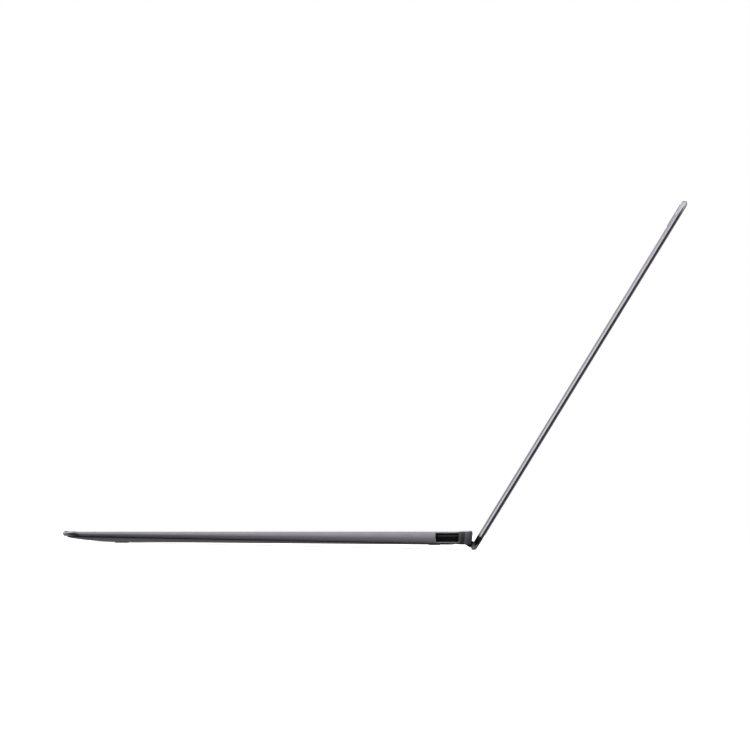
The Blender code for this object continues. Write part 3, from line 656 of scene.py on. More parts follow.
def new_object(name: str, bm: bmesh.types.BMesh, looks: Sequence[Look]) -> bpy.types.Object:
    """Make an object in metres from a bmesh in millimetres, and free the bmesh.

    Args:
        name: The object's name.
        bm: The shape.
        looks: Its finishes, in the order of its material indices.

    Returns:
        The object.
    """
    bmesh.ops.remove_doubles(bm, verts=bm.verts, dist=0.0005)
    bmesh.ops.scale(bm, vec=(MM, MM, MM), verts=bm.verts)
    bmesh.ops.recalc_face_normals(bm, faces=bm.faces)
    mesh = bpy.data.meshes.new(name)
    bm.to_mesh(mesh)
    bm.free()
    for look in looks:
        mesh.materials.append(look.material)
    made = bpy.data.objects.new(name, mesh)
    bpy.context.collection.objects.link(made)
    return made


def settle(obj: bpy.types.Object) -> bpy.types.Object:
    """Turn an object's modifiers into its plain mesh.

    Args:
        obj: The object.

    Returns:
        The same object, with no modifiers.
    """
    graph = bpy.context.evaluated_depsgraph_get()
    graph.update()
    mesh = bpy.data.meshes.new_from_object(obj.evaluated_get(graph), preserve_all_data_layers=True,
                                           depsgraph=graph)
    obj.modifiers.clear()
    obj.data = mesh
    return obj


@contextmanager
def edited(obj: bpy.types.Object) -> Iterator[bmesh.types.BMesh]:
    """Lend an object's mesh as a bmesh, in metres, and write it back afterwards.

    Args:
        obj: The object.

    Returns:
        The bmesh, for as long as the block runs.
    """
    bm = bmesh.new()
    bm.from_mesh(obj.data)
    yield bm
    bm.to_mesh(obj.data)
    bm.free()


def drop(obj: bpy.types.Object) -> None:
    """Remove a helper object."""
    bpy.data.objects.remove(obj, do_unlink=True)


def carve(obj: bpy.types.Object, cutters: Sequence[bpy.types.Object]) -> bpy.types.Object:
    """Cut helpers out of an object.

    Args:
        obj: The object to cut.
        cutters: Closed helpers, which are removed afterwards.

    Returns:
        The object.
    """
    for cutter in cutters:
        modifier = obj.modifiers.new("Carve", "BOOLEAN")
        modifier.operation, modifier.solver, modifier.object = "DIFFERENCE", "EXACT", cutter
        modifier.material_mode = "TRANSFER"
        settle(obj)
        drop(cutter)
    return obj


def merge(name: str, parts: Sequence[bpy.types.Object]) -> bpy.types.Object:
    """Join objects into one, keeping each one's materials.

    Args:
        name: The joined object's name.
        parts: What to join; all must have plain meshes.

    Returns:
        The joined object.
    """
    with bpy.context.temp_override(active_object=parts[0], object=parts[0],
                                   selected_objects=list(parts), selected_editable_objects=list(parts)):
        bpy.ops.object.join()
    parts[0].name = name
    parts[0].data.name = name
    return parts[0]


def soften(obj: bpy.types.Object, degrees: float = 32.0) -> bpy.types.Object:
    """Shade an object smooth, with sharp edges over an angle.

    Args:
        obj: The object.
        degrees: The angle.

    Returns:
        The object.
    """
    obj.data.shade_smooth()
    obj.data.set_sharp_from_angle(angle=math.radians(degrees))
    return obj


# ---------------------------------------------------------------- geometry nodes
class Scatter(Graph):
    """A geometry node tree that repeats its input over a grid of places."""

    def __init__(self) -> None:
        """Build the tree with its named inputs."""
        self.tree = bpy.data.node_groups.new("RepeatOnGrid", "GeometryNodeTree")
        face = self.tree.interface
        face.new_socket("Geometry", in_out="OUTPUT", socket_type="NodeSocketGeometry")
        face.new_socket("Geometry", in_out="INPUT", socket_type="NodeSocketGeometry")
        self.sockets = {}
        for name, kind, value in (("Columns", "NodeSocketInt", 2), ("Rows", "NodeSocketInt", 2),
                                  ("Pitch X", "NodeSocketFloat", 0.01), ("Pitch Y", "NodeSocketFloat", 0.01),
                                  ("Centre", "NodeSocketVector", (0.0, 0.0, 0.0)),
                                  ("Turn", "NodeSocketRotation", None),
                                  ("Merge", "NodeSocketFloat", 0.000002),
                                  ("Finish", "NodeSocketMaterial", None)):
            socket = face.new_socket(name, in_out="INPUT", socket_type=kind)
            if value is not None:
                socket.default_value = value
            self.sockets[name] = socket.identifier
        self.wire()

    def wire(self) -> None:
        """Join the nodes: a centred grid of points, the input on each, realised and given its finish."""
        given = self.node("NodeGroupInput").outputs

        def length(pitch: str, count: str) -> Socket:
            """The length of a row: its pitch times one less than its count."""
            less = self.node("ShaderNodeMath", {0: given[count], 1: 1.0}, operation="SUBTRACT").outputs[0]
            return self.node("ShaderNodeMath", {0: given[pitch], 1: less}, operation="MULTIPLY").outputs[0]

        grid = self.node("GeometryNodeMeshGrid", {
            "Vertices X": given["Columns"], "Vertices Y": given["Rows"],
            "Size X": length("Pitch X", "Columns"), "Size Y": length("Pitch Y", "Rows")})
        points = self.node("GeometryNodeMeshToPoints", {"Mesh": grid.outputs["Mesh"]})
        copies = self.node("GeometryNodeInstanceOnPoints", {
            "Points": points.outputs[0], "Instance": given["Geometry"]})
        plain = self.node("GeometryNodeRealizeInstances", {"Geometry": copies.outputs[0]})
        welded = self.node("GeometryNodeMergeByDistance", {
            "Geometry": plain.outputs[0], "Distance": given["Merge"]})
        placed = self.node("GeometryNodeTransform", {
            "Geometry": welded.outputs[0], "Translation": given["Centre"], "Rotation": given["Turn"]})
        whole = self.node("GeometryNodeRealizeInstances", {"Geometry": placed.outputs[0]})
        dressed = self.node("GeometryNodeSetMaterial", {
            "Geometry": whole.outputs[0], "Material": given["Finish"]})
        self.node("NodeGroupOutput", {"Geometry": dressed.outputs[0]})

    def spread(self, obj: bpy.types.Object, look: Look, columns: int, rows: int, pitch: Point2,
               centre: Sequence[float] = (0.0, 0.0, 0.0), lean: float = 0.0) -> bpy.types.Object:
        """Repeat an object over the grid and make it a plain mesh.

        Args:
            obj: The shape to repeat, centred on its origin.
            look: Its finish.
            columns: Copies along X.
            rows: Copies along Y.
            pitch: Distances between copies, in millimetres.
            centre: The grid's centre, in millimetres.
            lean: Turn about X, in radians.

        Returns:
            The same object, now the whole group.
        """
        modifier = obj.modifiers.new("Repeat", "NODES")
        modifier.node_group = self.tree
        values = {"Columns": columns, "Rows": rows, "Pitch X": pitch[0] * MM, "Pitch Y": pitch[1] * MM,
                  "Centre": [value * MM for value in centre], "Turn": (lean, 0.0, 0.0),
                  "Finish": look.material}
        for name, value in values.items():
            modifier[self.sockets[name]] = value
        return settle(obj)


# ---------------------------------------------------------------- places and pieces
@dataclass
class Bench:
    """Where the base and the lid are in the world, and how a finished piece is handed over."""

    hinge_y: float = 213.7
    hinge_depth: float = 3.84
    open_deg: float = 121.5
    base: Matrix = field(default_factory=Matrix)
    lid: Matrix = field(default_factory=Matrix)
    replaced: set[str] = field(default_factory=set)

    def __post_init__(self) -> None:
        """Work the two placements out from the frame's joints."""
        joints = {joint["name"]: joint for joint in frame["joints"]}
        down = Vector(joints["power_press"]["axis"])
        turn = Matrix.Rotation(math.atan2(down.y, -down.z), 4, "X")
        pin = Vector((0.0, self.hinge_y, -self.hinge_depth)) * MM
        self.base = Matrix.Translation(Vector(joints["lid_hinge"]["pos_m"]) - turn @ pin) @ turn
        opened = Matrix.Rotation(math.radians(-self.open_deg), 4, "X")
        self.lid = self.base @ Matrix.Translation(pin) @ opened

    def hand_over(self, obj: bpy.types.Object, body: str, slot: str, *nodes: str,
                  smooth: float | None = 32.0, in_lid: bool = False) -> bpy.types.Object:
        """Place a piece in the world and let it ride on its body.

        Args:
            obj: The piece, drawn in its own frame.
            body: The body it moves with.
            slot: The record's material slot; not used.
            nodes: The frame's nodes that it stands for.
            smooth: Angle over which edges stay sharp, or None to leave its shading.
            in_lid: Whether it is drawn in the closed lid's frame.

        Returns:
            The piece.
        """
        if smooth is not None:
            soften(obj, smooth)
        obj.data.transform(self.lid if in_lid else self.base)
        obj.data.update()
        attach(obj, body)
        if nodes:
            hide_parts(*nodes)
            self.replaced.update(nodes)
        log.info("%s rides on %s, %d faces", obj.name, body, len(obj.data.polygons))
        return obj


@dataclass
class Shell:
    """Sizes that the base's sub-assemblies share."""

    width: float = 304.0
    depth: float = 217.0
    corner: float = 9.5
    deck: float = 1.1
    wall: float = 1.8
    seam_front: float = 2.83
    seam_slope: float = 0.01935
    bottom_front: float = 5.75
    bottom_slope: float = 0.008525
    nose: float = 27.0
    flank: float = 13.0
    tail: float = 3.0
    flank_power: float = 1.7
    trough_y: float = 210.0
    ear_inner: float = 128.0
    ear_drop: float = 0.5
    ear_blend: float = 2.4
    key_x: float = 18.3
    key_y: float = 18.0
    function_y: float = 10.5
    units: float = 14.5
    keys_rear: float = 195.0
    frame_margin: float = 1.4
    palm: float = 6.0
    speaker_rear: float = 157.25
    speaker_length: float = 62.0
    pad_half: float = 60.0
    pad_gap: float = 0.22
    power_from_rear: float = 27.0
    fan_x: float = 94.0
    usb_a_y: float = 204.1
    usb_c_rows: tuple[float, float] = (193.0, 178.0)
    jack_y: float = 163.0
    socket_level: float = -3.3

    @property
    def half(self) -> float:
        """Half the width."""
        return self.width / 2

    @property
    def field_half(self) -> float:
        """Half the width of the keys' field."""
        return self.units * self.key_x / 2

    @property
    def keys_front(self) -> float:
        """Front edge of the keys' field."""
        return self.keys_rear - self.function_y - 5 * self.key_y

    @property
    def frame_half(self) -> float:
        """Half the width of the keyboard frame."""
        return self.field_half + self.frame_margin

    @property
    def speaker_x(self) -> float:
        """Middle of each speaker grille."""
        return (self.frame_half + self.half - self.wall) / 2

    def seam(self, y: float) -> float:
        """Height of the seam between the case and the cover, and of the ears behind the cover."""
        ear = min(max((y - self.trough_y + self.ear_blend) / self.ear_blend, 0.0), 1.0)
        return -(self.seam_front + self.seam_slope * y + self.ear_drop * ear)

    def bottom(self, y: float) -> float:
        """Height of the flat underside."""
        return -(self.bottom_front + self.bottom_slope * y)

    def plan(self, side: float, front: float, rear: float, corner: float | None = None) -> Outline:
        """The base's outline, set in at its sides, front and rear."""
        return round_outline(-self.half + side, self.half - side, front, self.depth - rear,
                             self.corner if corner is None else corner, 12)


def wedge_cutter(name: str, outline_at: OutlineAt, depth: float, chamfer: float,
                 looks: Sequence[Look]) -> bpy.types.Object:
    """A cutter for an opening in the deck, whose rim it leaves with a small polished chamfer.

    Args:
        name: The helper's name.
        outline_at: Gives the opening's outline set in by an amount.
        depth: How deep it goes.
        chamfer: Size of the chamfer.
        looks: Finishes of the walls and of the chamfer.

    Returns:
        The cutter.
    """
    loft = Loft()
    loft.ring(outline_at(0.0), -depth)
    loft.ring(outline_at(0.0), -chamfer)
    loft.ring(outline_at(-chamfer), 0.0, 1)
    loft.ring(outline_at(-chamfer - CUT_OVER), CUT_OVER, 1)
    return new_object(name, loft.close(), looks)


@dataclass
class Chassis:
    """Top case, bottom cover, feet, screws and speaker grilles."""

    bench: Bench
    scatter: Scatter
    shell: Shell
    grille_width: float = 9.6
    hole: float = 0.36
    hole_pitch: float = 1.2
    grille_depth: float = 0.6
    seam_gap: float = 0.3
    edge_drop: float = 0.55
    ear_back: float = 3.6
    rear_sole: float = 0.3
    sole_lift: float = 0.13
    fan_y: float = 174.0
    screw_x: float = 134.0
    screw_rows: tuple[float, float] = (40.0, 199.0)

    def build(self) -> None:
        """Build every piece of the base's outside."""
        self.top_case()
        self.bottom_cover()
        self.grilles()
        self.feet()
        self.screws()

    def wall_ring(self, share: float) -> tuple[Outline, Height]:
        """The wall's outline and height between the deck's edge and the seam.

        Args:
            share: Share of the way down.

        Returns:
            The outline and the height.
        """
        shell = self.shell
        bow = 0.18 * (1 - math.sin(math.pi * min(share + 0.15, 1.0) / 1.15)) if share < 0.35 else 0.0
        inset = bow * 0.6 + 0.34 * share ** 2.6
        front = 2.3 * share ** 2 - 1.7 * share - 0.45
        top = -self.edge_drop
        return (shell.plan(inset, front, 0.3 * (1 - share) ** 3 + 0.9 * share ** 1.5 - 0.5),
                lambda y: top + share * (shell.seam(y) + 0.08 - top))

    def top_case(self) -> None:
        """The upper shell with its polished rim, openings and rear trough."""
        shell = self.shell
        loft = Loft()
        loft.ring(shell.plan(0.62, 0.62, 0.4), 0.0)
        loft.ring(shell.plan(0.56, 0.5, 0.32), -0.02, 1)
        loft.ring(shell.plan(0.12, -0.35, -0.15), -self.edge_drop + 0.06, 1)
        for share in (0.0, 0.04, 0.1, 0.2, 0.35, 0.5, 0.65, 0.8, 0.9, 0.96, 1.0):
            outline, height = self.wall_ring(share)
            loft.ring(outline, height)
        inner = round_outline(-shell.half + shell.wall, shell.half - shell.wall,
                              4.2, shell.trough_y - 5.0, 4.5, 12)
        loft.ring(shell.plan(0.75, 1.2, 1.0), lambda y: shell.seam(y) + 0.2)
        loft.ring(inner, lambda y: shell.seam(y) + 0.2)
        loft.ring(inner, -shell.deck)
        case = new_object("top_case_shell", loft.close(), [Look.SHELL, Look.EDGE])
        carve(case, self.deck_cutters() + self.rear_cutters() + self.socket_cutters())
        case.data.materials.append(Look.BACK.material)
        for face in case.data.polygons:
            middle = face.center / MM
            on_ear = middle.y > shell.depth - self.ear_back and abs(middle.x) > shell.ear_inner + 1.0
            if on_ear and middle.z < -self.edge_drop:
                face.material_index = len(case.data.materials) - 1
        self.bench.hand_over(case, "base", "shell", "top_case", smooth=28.0)

    def deck_cutters(self) -> list[bpy.types.Object]:
        """Openings for the keyboard, the touchpad, the power button and the grilles.

        Returns:
            The cutters.
        """
        shell = self.shell
        looks = [Look.SHELL, Look.EDGE]
        front, rear = shell.keys_front - shell.frame_margin, shell.keys_rear + shell.frame_margin
        gap, pad = 0.02, shell.pad_half + shell.pad_gap
        cutters = [
            new_object("keyboard_cut", slab(inset_by(
                -shell.frame_half - gap, shell.frame_half + gap, front - gap, rear + gap, 1.2, 6),
                -2.0, CUT_OVER, 0.01), [Look.SHELL]),
            wedge_cutter("touchpad_cut", inset_by(
                -pad, pad, shell.palm - shell.pad_gap, front - shell.palm + shell.pad_gap, 3.2, 10, 1.0),
                2.4, 0.28, looks),
            wedge_cutter("power_cut", lambda inset: circle_outline(
                shell.speaker_x, shell.depth - shell.power_from_rear, 5.2 - inset, 64), 2.4, 0.24, looks),
        ]
        for side in (-1, 1):
            x, near = side * shell.speaker_x, shell.speaker_rear - shell.speaker_length / 2
            half_w, half_l = self.grille_half()
            cutters.append(new_object("grille_cut", slab(inset_by(
                x - half_w, x + half_w, near - half_l, near + half_l, 0.012, 1),
                -3.0, CUT_OVER, 0.005), [Look.SHELL]))
        return cutters

    def grille_half(self) -> Point2:
        """Half the width and half the length of a speaker's field of holes."""
        columns, rows = self.grille_counts()
        return columns * self.hole_pitch / 2, rows * self.hole_pitch / 2

    def grille_counts(self) -> tuple[int, int]:
        """Holes across and along a speaker grille."""
        return (int((self.grille_width - 1.6) / self.hole_pitch),
                int((self.shell.speaker_length - 3.0) / self.hole_pitch))

    def rear_cutters(self) -> list[bpy.types.Object]:
        """The trough for the hinge cover, the air outlets in its wall and the holes for the hinge's shafts.

        Returns:
            The cutters.
        """
        shell = self.shell
        trough = Loft("X")
        profile = [(shell.trough_y, -12.0), (shell.trough_y, -0.5), (shell.trough_y + 0.06, -0.25),
                   (shell.trough_y - 0.35, 0.05), (shell.trough_y - 0.35, 6.0), (shell.depth + 9.0, 6.0),
                   (shell.depth + 9.0, -12.0)]
        trough.ring(profile, -shell.ear_inner).ring(profile, shell.ear_inner)
        cutters = [new_object("trough_cut", trough.close(), [Look.SHELL])]
        for side in (-1, 1):
            # The outlets' walls take the deep black finish: painted shade inside the slots.
            slot = new_object("vent_cut", slab(inset_by(-3.1, 3.1, -0.95, 0.95, 0.9, 6), -5.0, 5.0, 0.01),
                              [Look.BLACK])
            slot.data.transform(Matrix.Rotation(math.pi / 2, 4, "X"))
            cutters.append(self.scatter.spread(slot, Look.BLACK, 8, 1, (7.6, 1.0),
                                               (side * shell.fan_x, shell.trough_y - 2.5, -3.4)))
        shaft = circle_outline(self.bench.hinge_y, -self.bench.hinge_depth, 1.5, 24)
        for side in (-1, 1):
            low, high = sorted((side * (shell.ear_inner - 1.0), side * (shell.ear_inner + 9.0)))
            cutters.append(self.mouth("shaft_cut", shaft, low, high))
        return cutters

    @staticmethod
    def mouth(name: str, outline: Outline, low: float, high: float,
              look: Look = Look.SHELL) -> bpy.types.Object:
        """A straight cutter along X, from low to high."""
        return new_object(name, Loft("X").ring(outline, low).ring(outline, high).close(), [look])

    def socket_cutters(self) -> list[bpy.types.Object]:
        """Mouths of the sockets in the side walls.

        Returns:
            The cutters.
        """
        shell = self.shell
        half, wide = shell.half, 6.5
        slots = [("usb_c_cut", round_outline(y - 4.75, y + 4.75, shell.socket_level - 1.8,
                                             shell.socket_level + 1.8, 1.75, 8)) for y in shell.usb_c_rows]
        slots.append(("jack_cut", circle_outline(shell.jack_y, shell.socket_level, 2.2, 40)))
        # The USB-A opening's walls take the deep black finish: painted shade in the socket's mouth.
        return [self.mouth("usb_a_cut", round_outline(shell.usb_a_y - wide, shell.usb_a_y + wide,
                                                      -6.3, -1.05, 0.35, 4),
                           half - 14.0, half + CUT_OVER, Look.BLACK),
                *(self.mouth(name, outline, -half - CUT_OVER, -half + 4.0) for name, outline in slots)]

    def bottom_cover(self) -> None:
        """The lower shell: curved nose and flanks, flat underside, air inlets and screw pockets."""
        shell = self.shell
        rear = shell.trough_y - 2.0

        def outline(share: float) -> Outline:
            """The cover's outline on its flank.

            Args:
                share: Share of the flank's width.

            Returns:
                The outline.
            """
            side = shell.half - 0.45 - share * shell.flank
            return round_outline(-side, side, 0.9 + share ** 0.8 * shell.nose, rear - share * shell.tail,
                                 shell.corner, 12)

        def height(share: float) -> Height:
            """The cover's height on its flank.

            Args:
                share: Share of the flank's width.

            Returns:
                The height, as a function of Y.
            """
            fall = (1 - (1 - share) ** shell.flank_power) ** (1 / shell.flank_power)
            return lambda y: (shell.seam(y) - self.seam_gap
                              + fall * (shell.bottom(y) - shell.seam(y) + self.seam_gap))

        loft = Loft()
        floor = round_outline(-shell.half + 12.0, shell.half - 12.0, 26.0, rear - 4.0, 4.5, 12)
        rim = round_outline(-shell.half + 2.4, shell.half - 2.4, 6.0, rear - 2.4, 5.0, 12)
        lip = round_outline(-shell.half + 1.15, shell.half - 1.15, 1.7, rear - 0.7, shell.corner - 0.7, 12)
        # The inner bands and the lip that shows through the seam gap take the deep black finish: painted shade in
        # the seam.
        loft.ring(floor, lambda y: shell.bottom(y) + 0.9)
        loft.ring(rim, lambda y: shell.seam(y) + 0.16, 1)
        loft.ring(lip, lambda y: shell.seam(y) + 0.16, 1)
        loft.ring(lip, lambda y: shell.seam(y) - self.seam_gap, 1)
        for share in (0.0, 0.006, 0.02, 0.05, 0.09, 0.14, 0.2, 0.28, 0.37, 0.48, 0.6, 0.73, 0.86, 1.0):
            loft.ring(outline(share), height(share))
        # The cover's metal is the shell's colour darkened, as painted shade on the underside and flanks.
        cover = new_object("bottom_cover_shell", loft.close(), [Look.COVER, Look.BLACK, Look.EDGE])
        cutters = []
        for side in (-1, 1):
            for columns, rows in ((6, 9), (5, 8)):
                # The inlets' walls take the deep black finish: painted shade inside the slots.
                inlet = new_object("inlet_cut", slab(inset_by(-2.6, 2.6, -0.75, 0.75, 0.74, 6),
                                                     -3.0, 3.0, 0.01), [Look.BLACK])
                centre = (side * shell.fan_x, self.fan_y, shell.bottom(self.fan_y))
                cutters.append(self.scatter.spread(inlet, Look.BLACK, columns, rows, (6.6, 3.4), centre))
        for x in (-self.screw_x, self.screw_x):
            for y in self.screw_rows:
                under = shell.bottom(y)
                pocket = Loft().turned((x, y), 32, (
                    (2.45, under + 1.4), (2.45, under + 0.2), (3.0, under - 0.35, 1)))
                cutters.append(new_object("screw_cut", pocket.close(), [Look.COVER, Look.EDGE]))
        carve(cover, cutters)
        self.bench.hand_over(cover, "base", "cover", "bottom_cover", smooth=24.0)

    def grilles(self) -> None:
        """The perforated speaker fields, each one sheet with a round hole in every cell."""
        shell = self.shell
        columns, rows = self.grille_counts()
        sides = 12
        angles = [2 * math.pi * (i + 0.5) / sides for i in range(sides)]
        square = [self.on_square(angle, self.hole_pitch / 2) for angle in angles]
        for side, name in ((-1, "left"), (1, "right")):
            bm = bmesh.new()
            rings = []
            for radius, level in ((None, 0.0), (self.hole + 0.05, 0.0), (self.hole, -0.06),
                                  (self.hole, -self.grille_depth), (None, -self.grille_depth)):
                points = square if radius is None else [
                    (radius * math.cos(angle), radius * math.sin(angle)) for angle in angles]
                rings.append([bm.verts.new((x, y, level)) for x, y in points])
            for outer, inner in zip(rings, rings[1:]):
                for i in range(sides):
                    j = (i + 1) % sides
                    bm.faces.new((outer[i], outer[j], inner[j], inner[i]))
            cell = new_object(f"speaker_grille_{name}", bm, [Look.SHELL])
            y = shell.speaker_rear - shell.speaker_length / 2
            self.scatter.spread(cell, Look.SHELL, columns, rows, (self.hole_pitch, self.hole_pitch),
                                (side * shell.speaker_x, y, 0.0))
            self.seal(cell)
            self.bench.hand_over(cell, "base", "shell", smooth=None)

    @staticmethod
    def on_square(angle: float, half: float) -> Point2:
        """The point of a square's edge in a direction from its centre.

        Args:
            angle: The direction, in radians.
            half: Half the square's side.

        Returns:
            The point.
        """
        x, y = math.cos(angle), math.sin(angle)
        reach = half / max(abs(x), abs(y))
        return x * reach, y * reach

    @staticmethod
    def seal(obj: bpy.types.Object) -> None:
        """Join a sheet's cells and close its rim, so that it is one solid plate.

        Args:
            obj: The sheet.
        """
        with edited(obj) as bm:
            bmesh.ops.remove_doubles(bm, verts=bm.verts, dist=0.005 * MM)
            bmesh.ops.bridge_loops(bm, edges=[edge for edge in bm.edges if edge.is_boundary])
            bmesh.ops.recalc_face_normals(bm, faces=bm.faces)

    def feet(self) -> None:
        """Rubber feet with rounded edges, standing in the underside."""
        for node in ("foot_front_left", "foot_front_right", "foot_rear_left", "foot_rear_right"):
            to_base, box = self.bench.base.inverted(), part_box(node)
            low, high = (to_base @ corner / MM for corner in box)
            y, half_y = (low.y + high.y) / 2, 3.0
            under = self.shell.bottom(y)
            if "rear" in node:
                sole = under - self.rear_sole
            else:
                ends = (to_base @ Vector((box[0].x, end.y, box[0].z)) / MM for end in box)
                sole = self.sole_lift + min(end.z for end in ends)
            outline = inset_by(low.x, high.x, y - half_y, y + half_y, half_y, 10, 1.0)
            foot = new_object(node + "_pad", slab(outline, sole, under + 0.4, 0.3, steps=4), [Look.RUBBER])
            self.bench.hand_over(foot, "base", "rubber", node)

    def screws(self) -> None:
        """Four bottom screws with a star recess."""
        shell = self.shell
        screw = Loft().turned((0.0, 0.0), 48, ((2.1, 0.9), (2.1, 0.12), (1.95, 0.02), (1.7, -0.03)))
        turns = [2 * math.pi * i / 48 for i in range(48)]
        star = [((0.85 + 0.13 * math.cos(5 * turn)) * math.cos(turn),
                 (0.85 + 0.13 * math.cos(5 * turn)) * math.sin(turn)) for turn in turns]
        screw.ring(star, -0.03).ring([(x * 0.92, y * 0.92) for x, y in star], 0.5)
        head = new_object("bottom_screws", screw.close(), [Look.STEEL])
        front, rear = self.screw_rows
        y = (front + rear) / 2
        self.scatter.spread(head, Look.STEEL, 2, 2, (2 * self.screw_x, rear - front),
                            (0.0, y, shell.bottom(y) + 0.25), -math.atan(shell.bottom_slope))
        self.bench.hand_over(head, "base", "steel", *[f"bottom_screw_{n}" for n in (1, 2, 3, 4)])


Place = tuple[float, float, float, float]
LEGENDS = {
    "function_row_keys": ["Esc", *(f"F{n}" for n in range(1, 13)), "Ins", "Del"],
    "number_row_keys": list("`1234567890-="), "backspace_key": ["Back"],
    "tab_key": ["Tab"], "upper_row_keys": list("QWERTYUIOP[]\\"),
    "caps_lock_key": ["Caps"], "home_row_keys": list("ASDFGHJKL;'"), "enter_key": ["Enter"],
    "left_shift_key": ["Shift"], "lower_row_keys": list("ZXCVBNM,./"), "right_shift_key": ["Shift"],
    "left_modifier_keys": ["Ctrl", "Fn", "", "Alt"], "right_modifier_keys": ["Alt", "Ctrl"],
}
ARROWS = {"arrow_left_key": 180.0, "arrow_right_key": 0.0, "arrow_up_key": 90.0, "arrow_down_key": -90.0}


@dataclass
class Keyboard:
    """The key frame and every key cap, with generic legends."""

    bench: Bench
    scatter: Scatter
    shell: Shell
    gap: float = 2.6
    clearance: float = 0.35
    top: float = -0.02
    thickness: float = 1.45
    corner: float = 1.5
    dish: float = 0.16
    rim_step: float = 0.015
    frame_thick: float = 0.95

    def rows(self) -> list[tuple[float, float, list[tuple[str, list[float]]]]]:
        """The rows of keys, from the front.

        Returns:
            Front, depth and banks of each row; a bank is a node and its keys' widths in units.
        """
        shell = self.shell
        banks = [
            [("left_modifier_keys", [1.25, 1, 1, 1]), ("space_bar", [5.25]), ("right_modifier_keys", [1, 1]),
             ("arrow_left_key", [1]), ("arrow_pair", [1]), ("arrow_right_key", [1])],
            [("left_shift_key", [2.25]), ("lower_row_keys", [1] * 10), ("right_shift_key", [2.25])],
            [("caps_lock_key", [1.75]), ("home_row_keys", [1] * 11), ("enter_key", [1.75])],
            [("tab_key", [1.5]), ("upper_row_keys", [1] * 13)],
            [("number_row_keys", [1] * 13), ("backspace_key", [1.5])],
            [("function_row_keys", [shell.units / 15] * 15)],
        ]
        rows, front = [], shell.keys_front
        for number, row in enumerate(banks):
            depth = shell.key_y if number < 5 else shell.function_y
            rows.append((front, depth, row))
            front += depth
        return rows

    def keys(self) -> list[tuple[str, float, float, float, float]]:
        """Every key and its place.

        Returns:
            Node, left, right, front and rear of each.
        """
        found = []
        for front, depth, banks in self.rows():
            x = -self.shell.field_half
            for node, widths in banks:
                for width in widths:
                    right = x + width * self.shell.key_x
                    if node == "arrow_pair":
                        middle = front + depth / 2
                        found.append(("arrow_down_key", x, right, front, middle + self.gap / 2 - 0.5))
                        found.append(("arrow_up_key", x, right, middle - self.gap / 2 + 0.5, front + depth))
                    else:
                        found.append((node, x, right, front, front + depth))
                    x = right
        return found

    def build(self) -> None:
        """Build the frame, the caps and their legends."""
        self.key_frame()
        banks: dict[str, list[Place]] = {}
        for node, *edges in self.keys():
            banks.setdefault(node, []).append(tuple(edges))
        for node, caps in banks.items():
            runs: list[list[Place]] = []
            for cap in caps:
                if runs and abs((cap[1] - cap[0]) - (runs[-1][0][1] - runs[-1][0][0])) < 0.01:
                    runs[-1].append(cap)
                else:
                    runs.append([cap])
            parts = [self.run_of_caps(node, run) for run in runs]
            parts += self.legends(node, caps)
            bank = merge(node + "_caps", parts) if len(parts) > 1 else parts[0]
            bank.name = node + "_caps"
            self.bench.hand_over(bank, node, "key", node, smooth=40.0)

    def legends(self, node: str, caps: Sequence[Place]) -> list[bpy.types.Object]:
        """The printed marks of a bank.

        Args:
            node: The bank's node.
            caps: Edges of each key's place.

        Returns:
            One object for each mark.
        """
        marks = []
        for (left, right, front, rear), text in zip(caps, LEGENDS.get(node, [])):
            if text:
                size = 3.6 if len(text) == 1 else 2.1
                marks.append(self.mark(text, size, (left + right) / 2, (front + rear) / 2))
        if node in ARROWS:
            left, right, front, rear = caps[0]
            arrow = slab(lambda inset: [((1.1 - inset) * math.cos(a), (1.1 - inset) * math.sin(a))
                                        for a in (math.radians(turn) for turn in (0, 120, 240))],
                         -0.012, 0.012, 0.002, steps=1)
            place = Matrix.Translation(((left + right) / 2, (front + rear) / 2, self.print_level))
            turn = Matrix.Rotation(math.radians(ARROWS[node]), 4, "Z")
            bmesh.ops.transform(arrow, matrix=place @ turn, verts=arrow.verts)
            marks.append(new_object("arrow_mark", arrow, [Look.LEGEND]))
        return marks

    @property
    def print_level(self) -> float:
        """Height of the printed marks, in the hollow of the caps."""
        return self.top - self.rim_step - self.dish + 0.004

    def mark(self, text: str, size: float, x: float, y: float) -> bpy.types.Object:
        """A few letters as a very thin plate.

        Args:
            text: The letters.
            size: Their height.
            x: Middle of the key.
            y: Middle of the key.

        Returns:
            The plate.
        """
        curve = bpy.data.curves.new("mark", "FONT")
        curve.body, curve.size, curve.extrude, curve.resolution_u = text, size, 0.012, 2
        curve.align_x, curve.align_y = "CENTER", "CENTER"
        helper = bpy.data.objects.new("mark", curve)
        bpy.context.collection.objects.link(helper)
        mesh = bpy.data.meshes.new_from_object(helper.evaluated_get(bpy.context.evaluated_depsgraph_get()))
        drop(helper)
        bm = bmesh.new()
        bm.from_mesh(mesh)
        bpy.data.meshes.remove(mesh)
        bmesh.ops.remove_doubles(bm, verts=bm.verts, dist=0.0005)
        bmesh.ops.transform(bm, matrix=Matrix.Translation((x, y, self.print_level)), verts=bm.verts)
        return new_object("mark", bm, [Look.LEGEND])

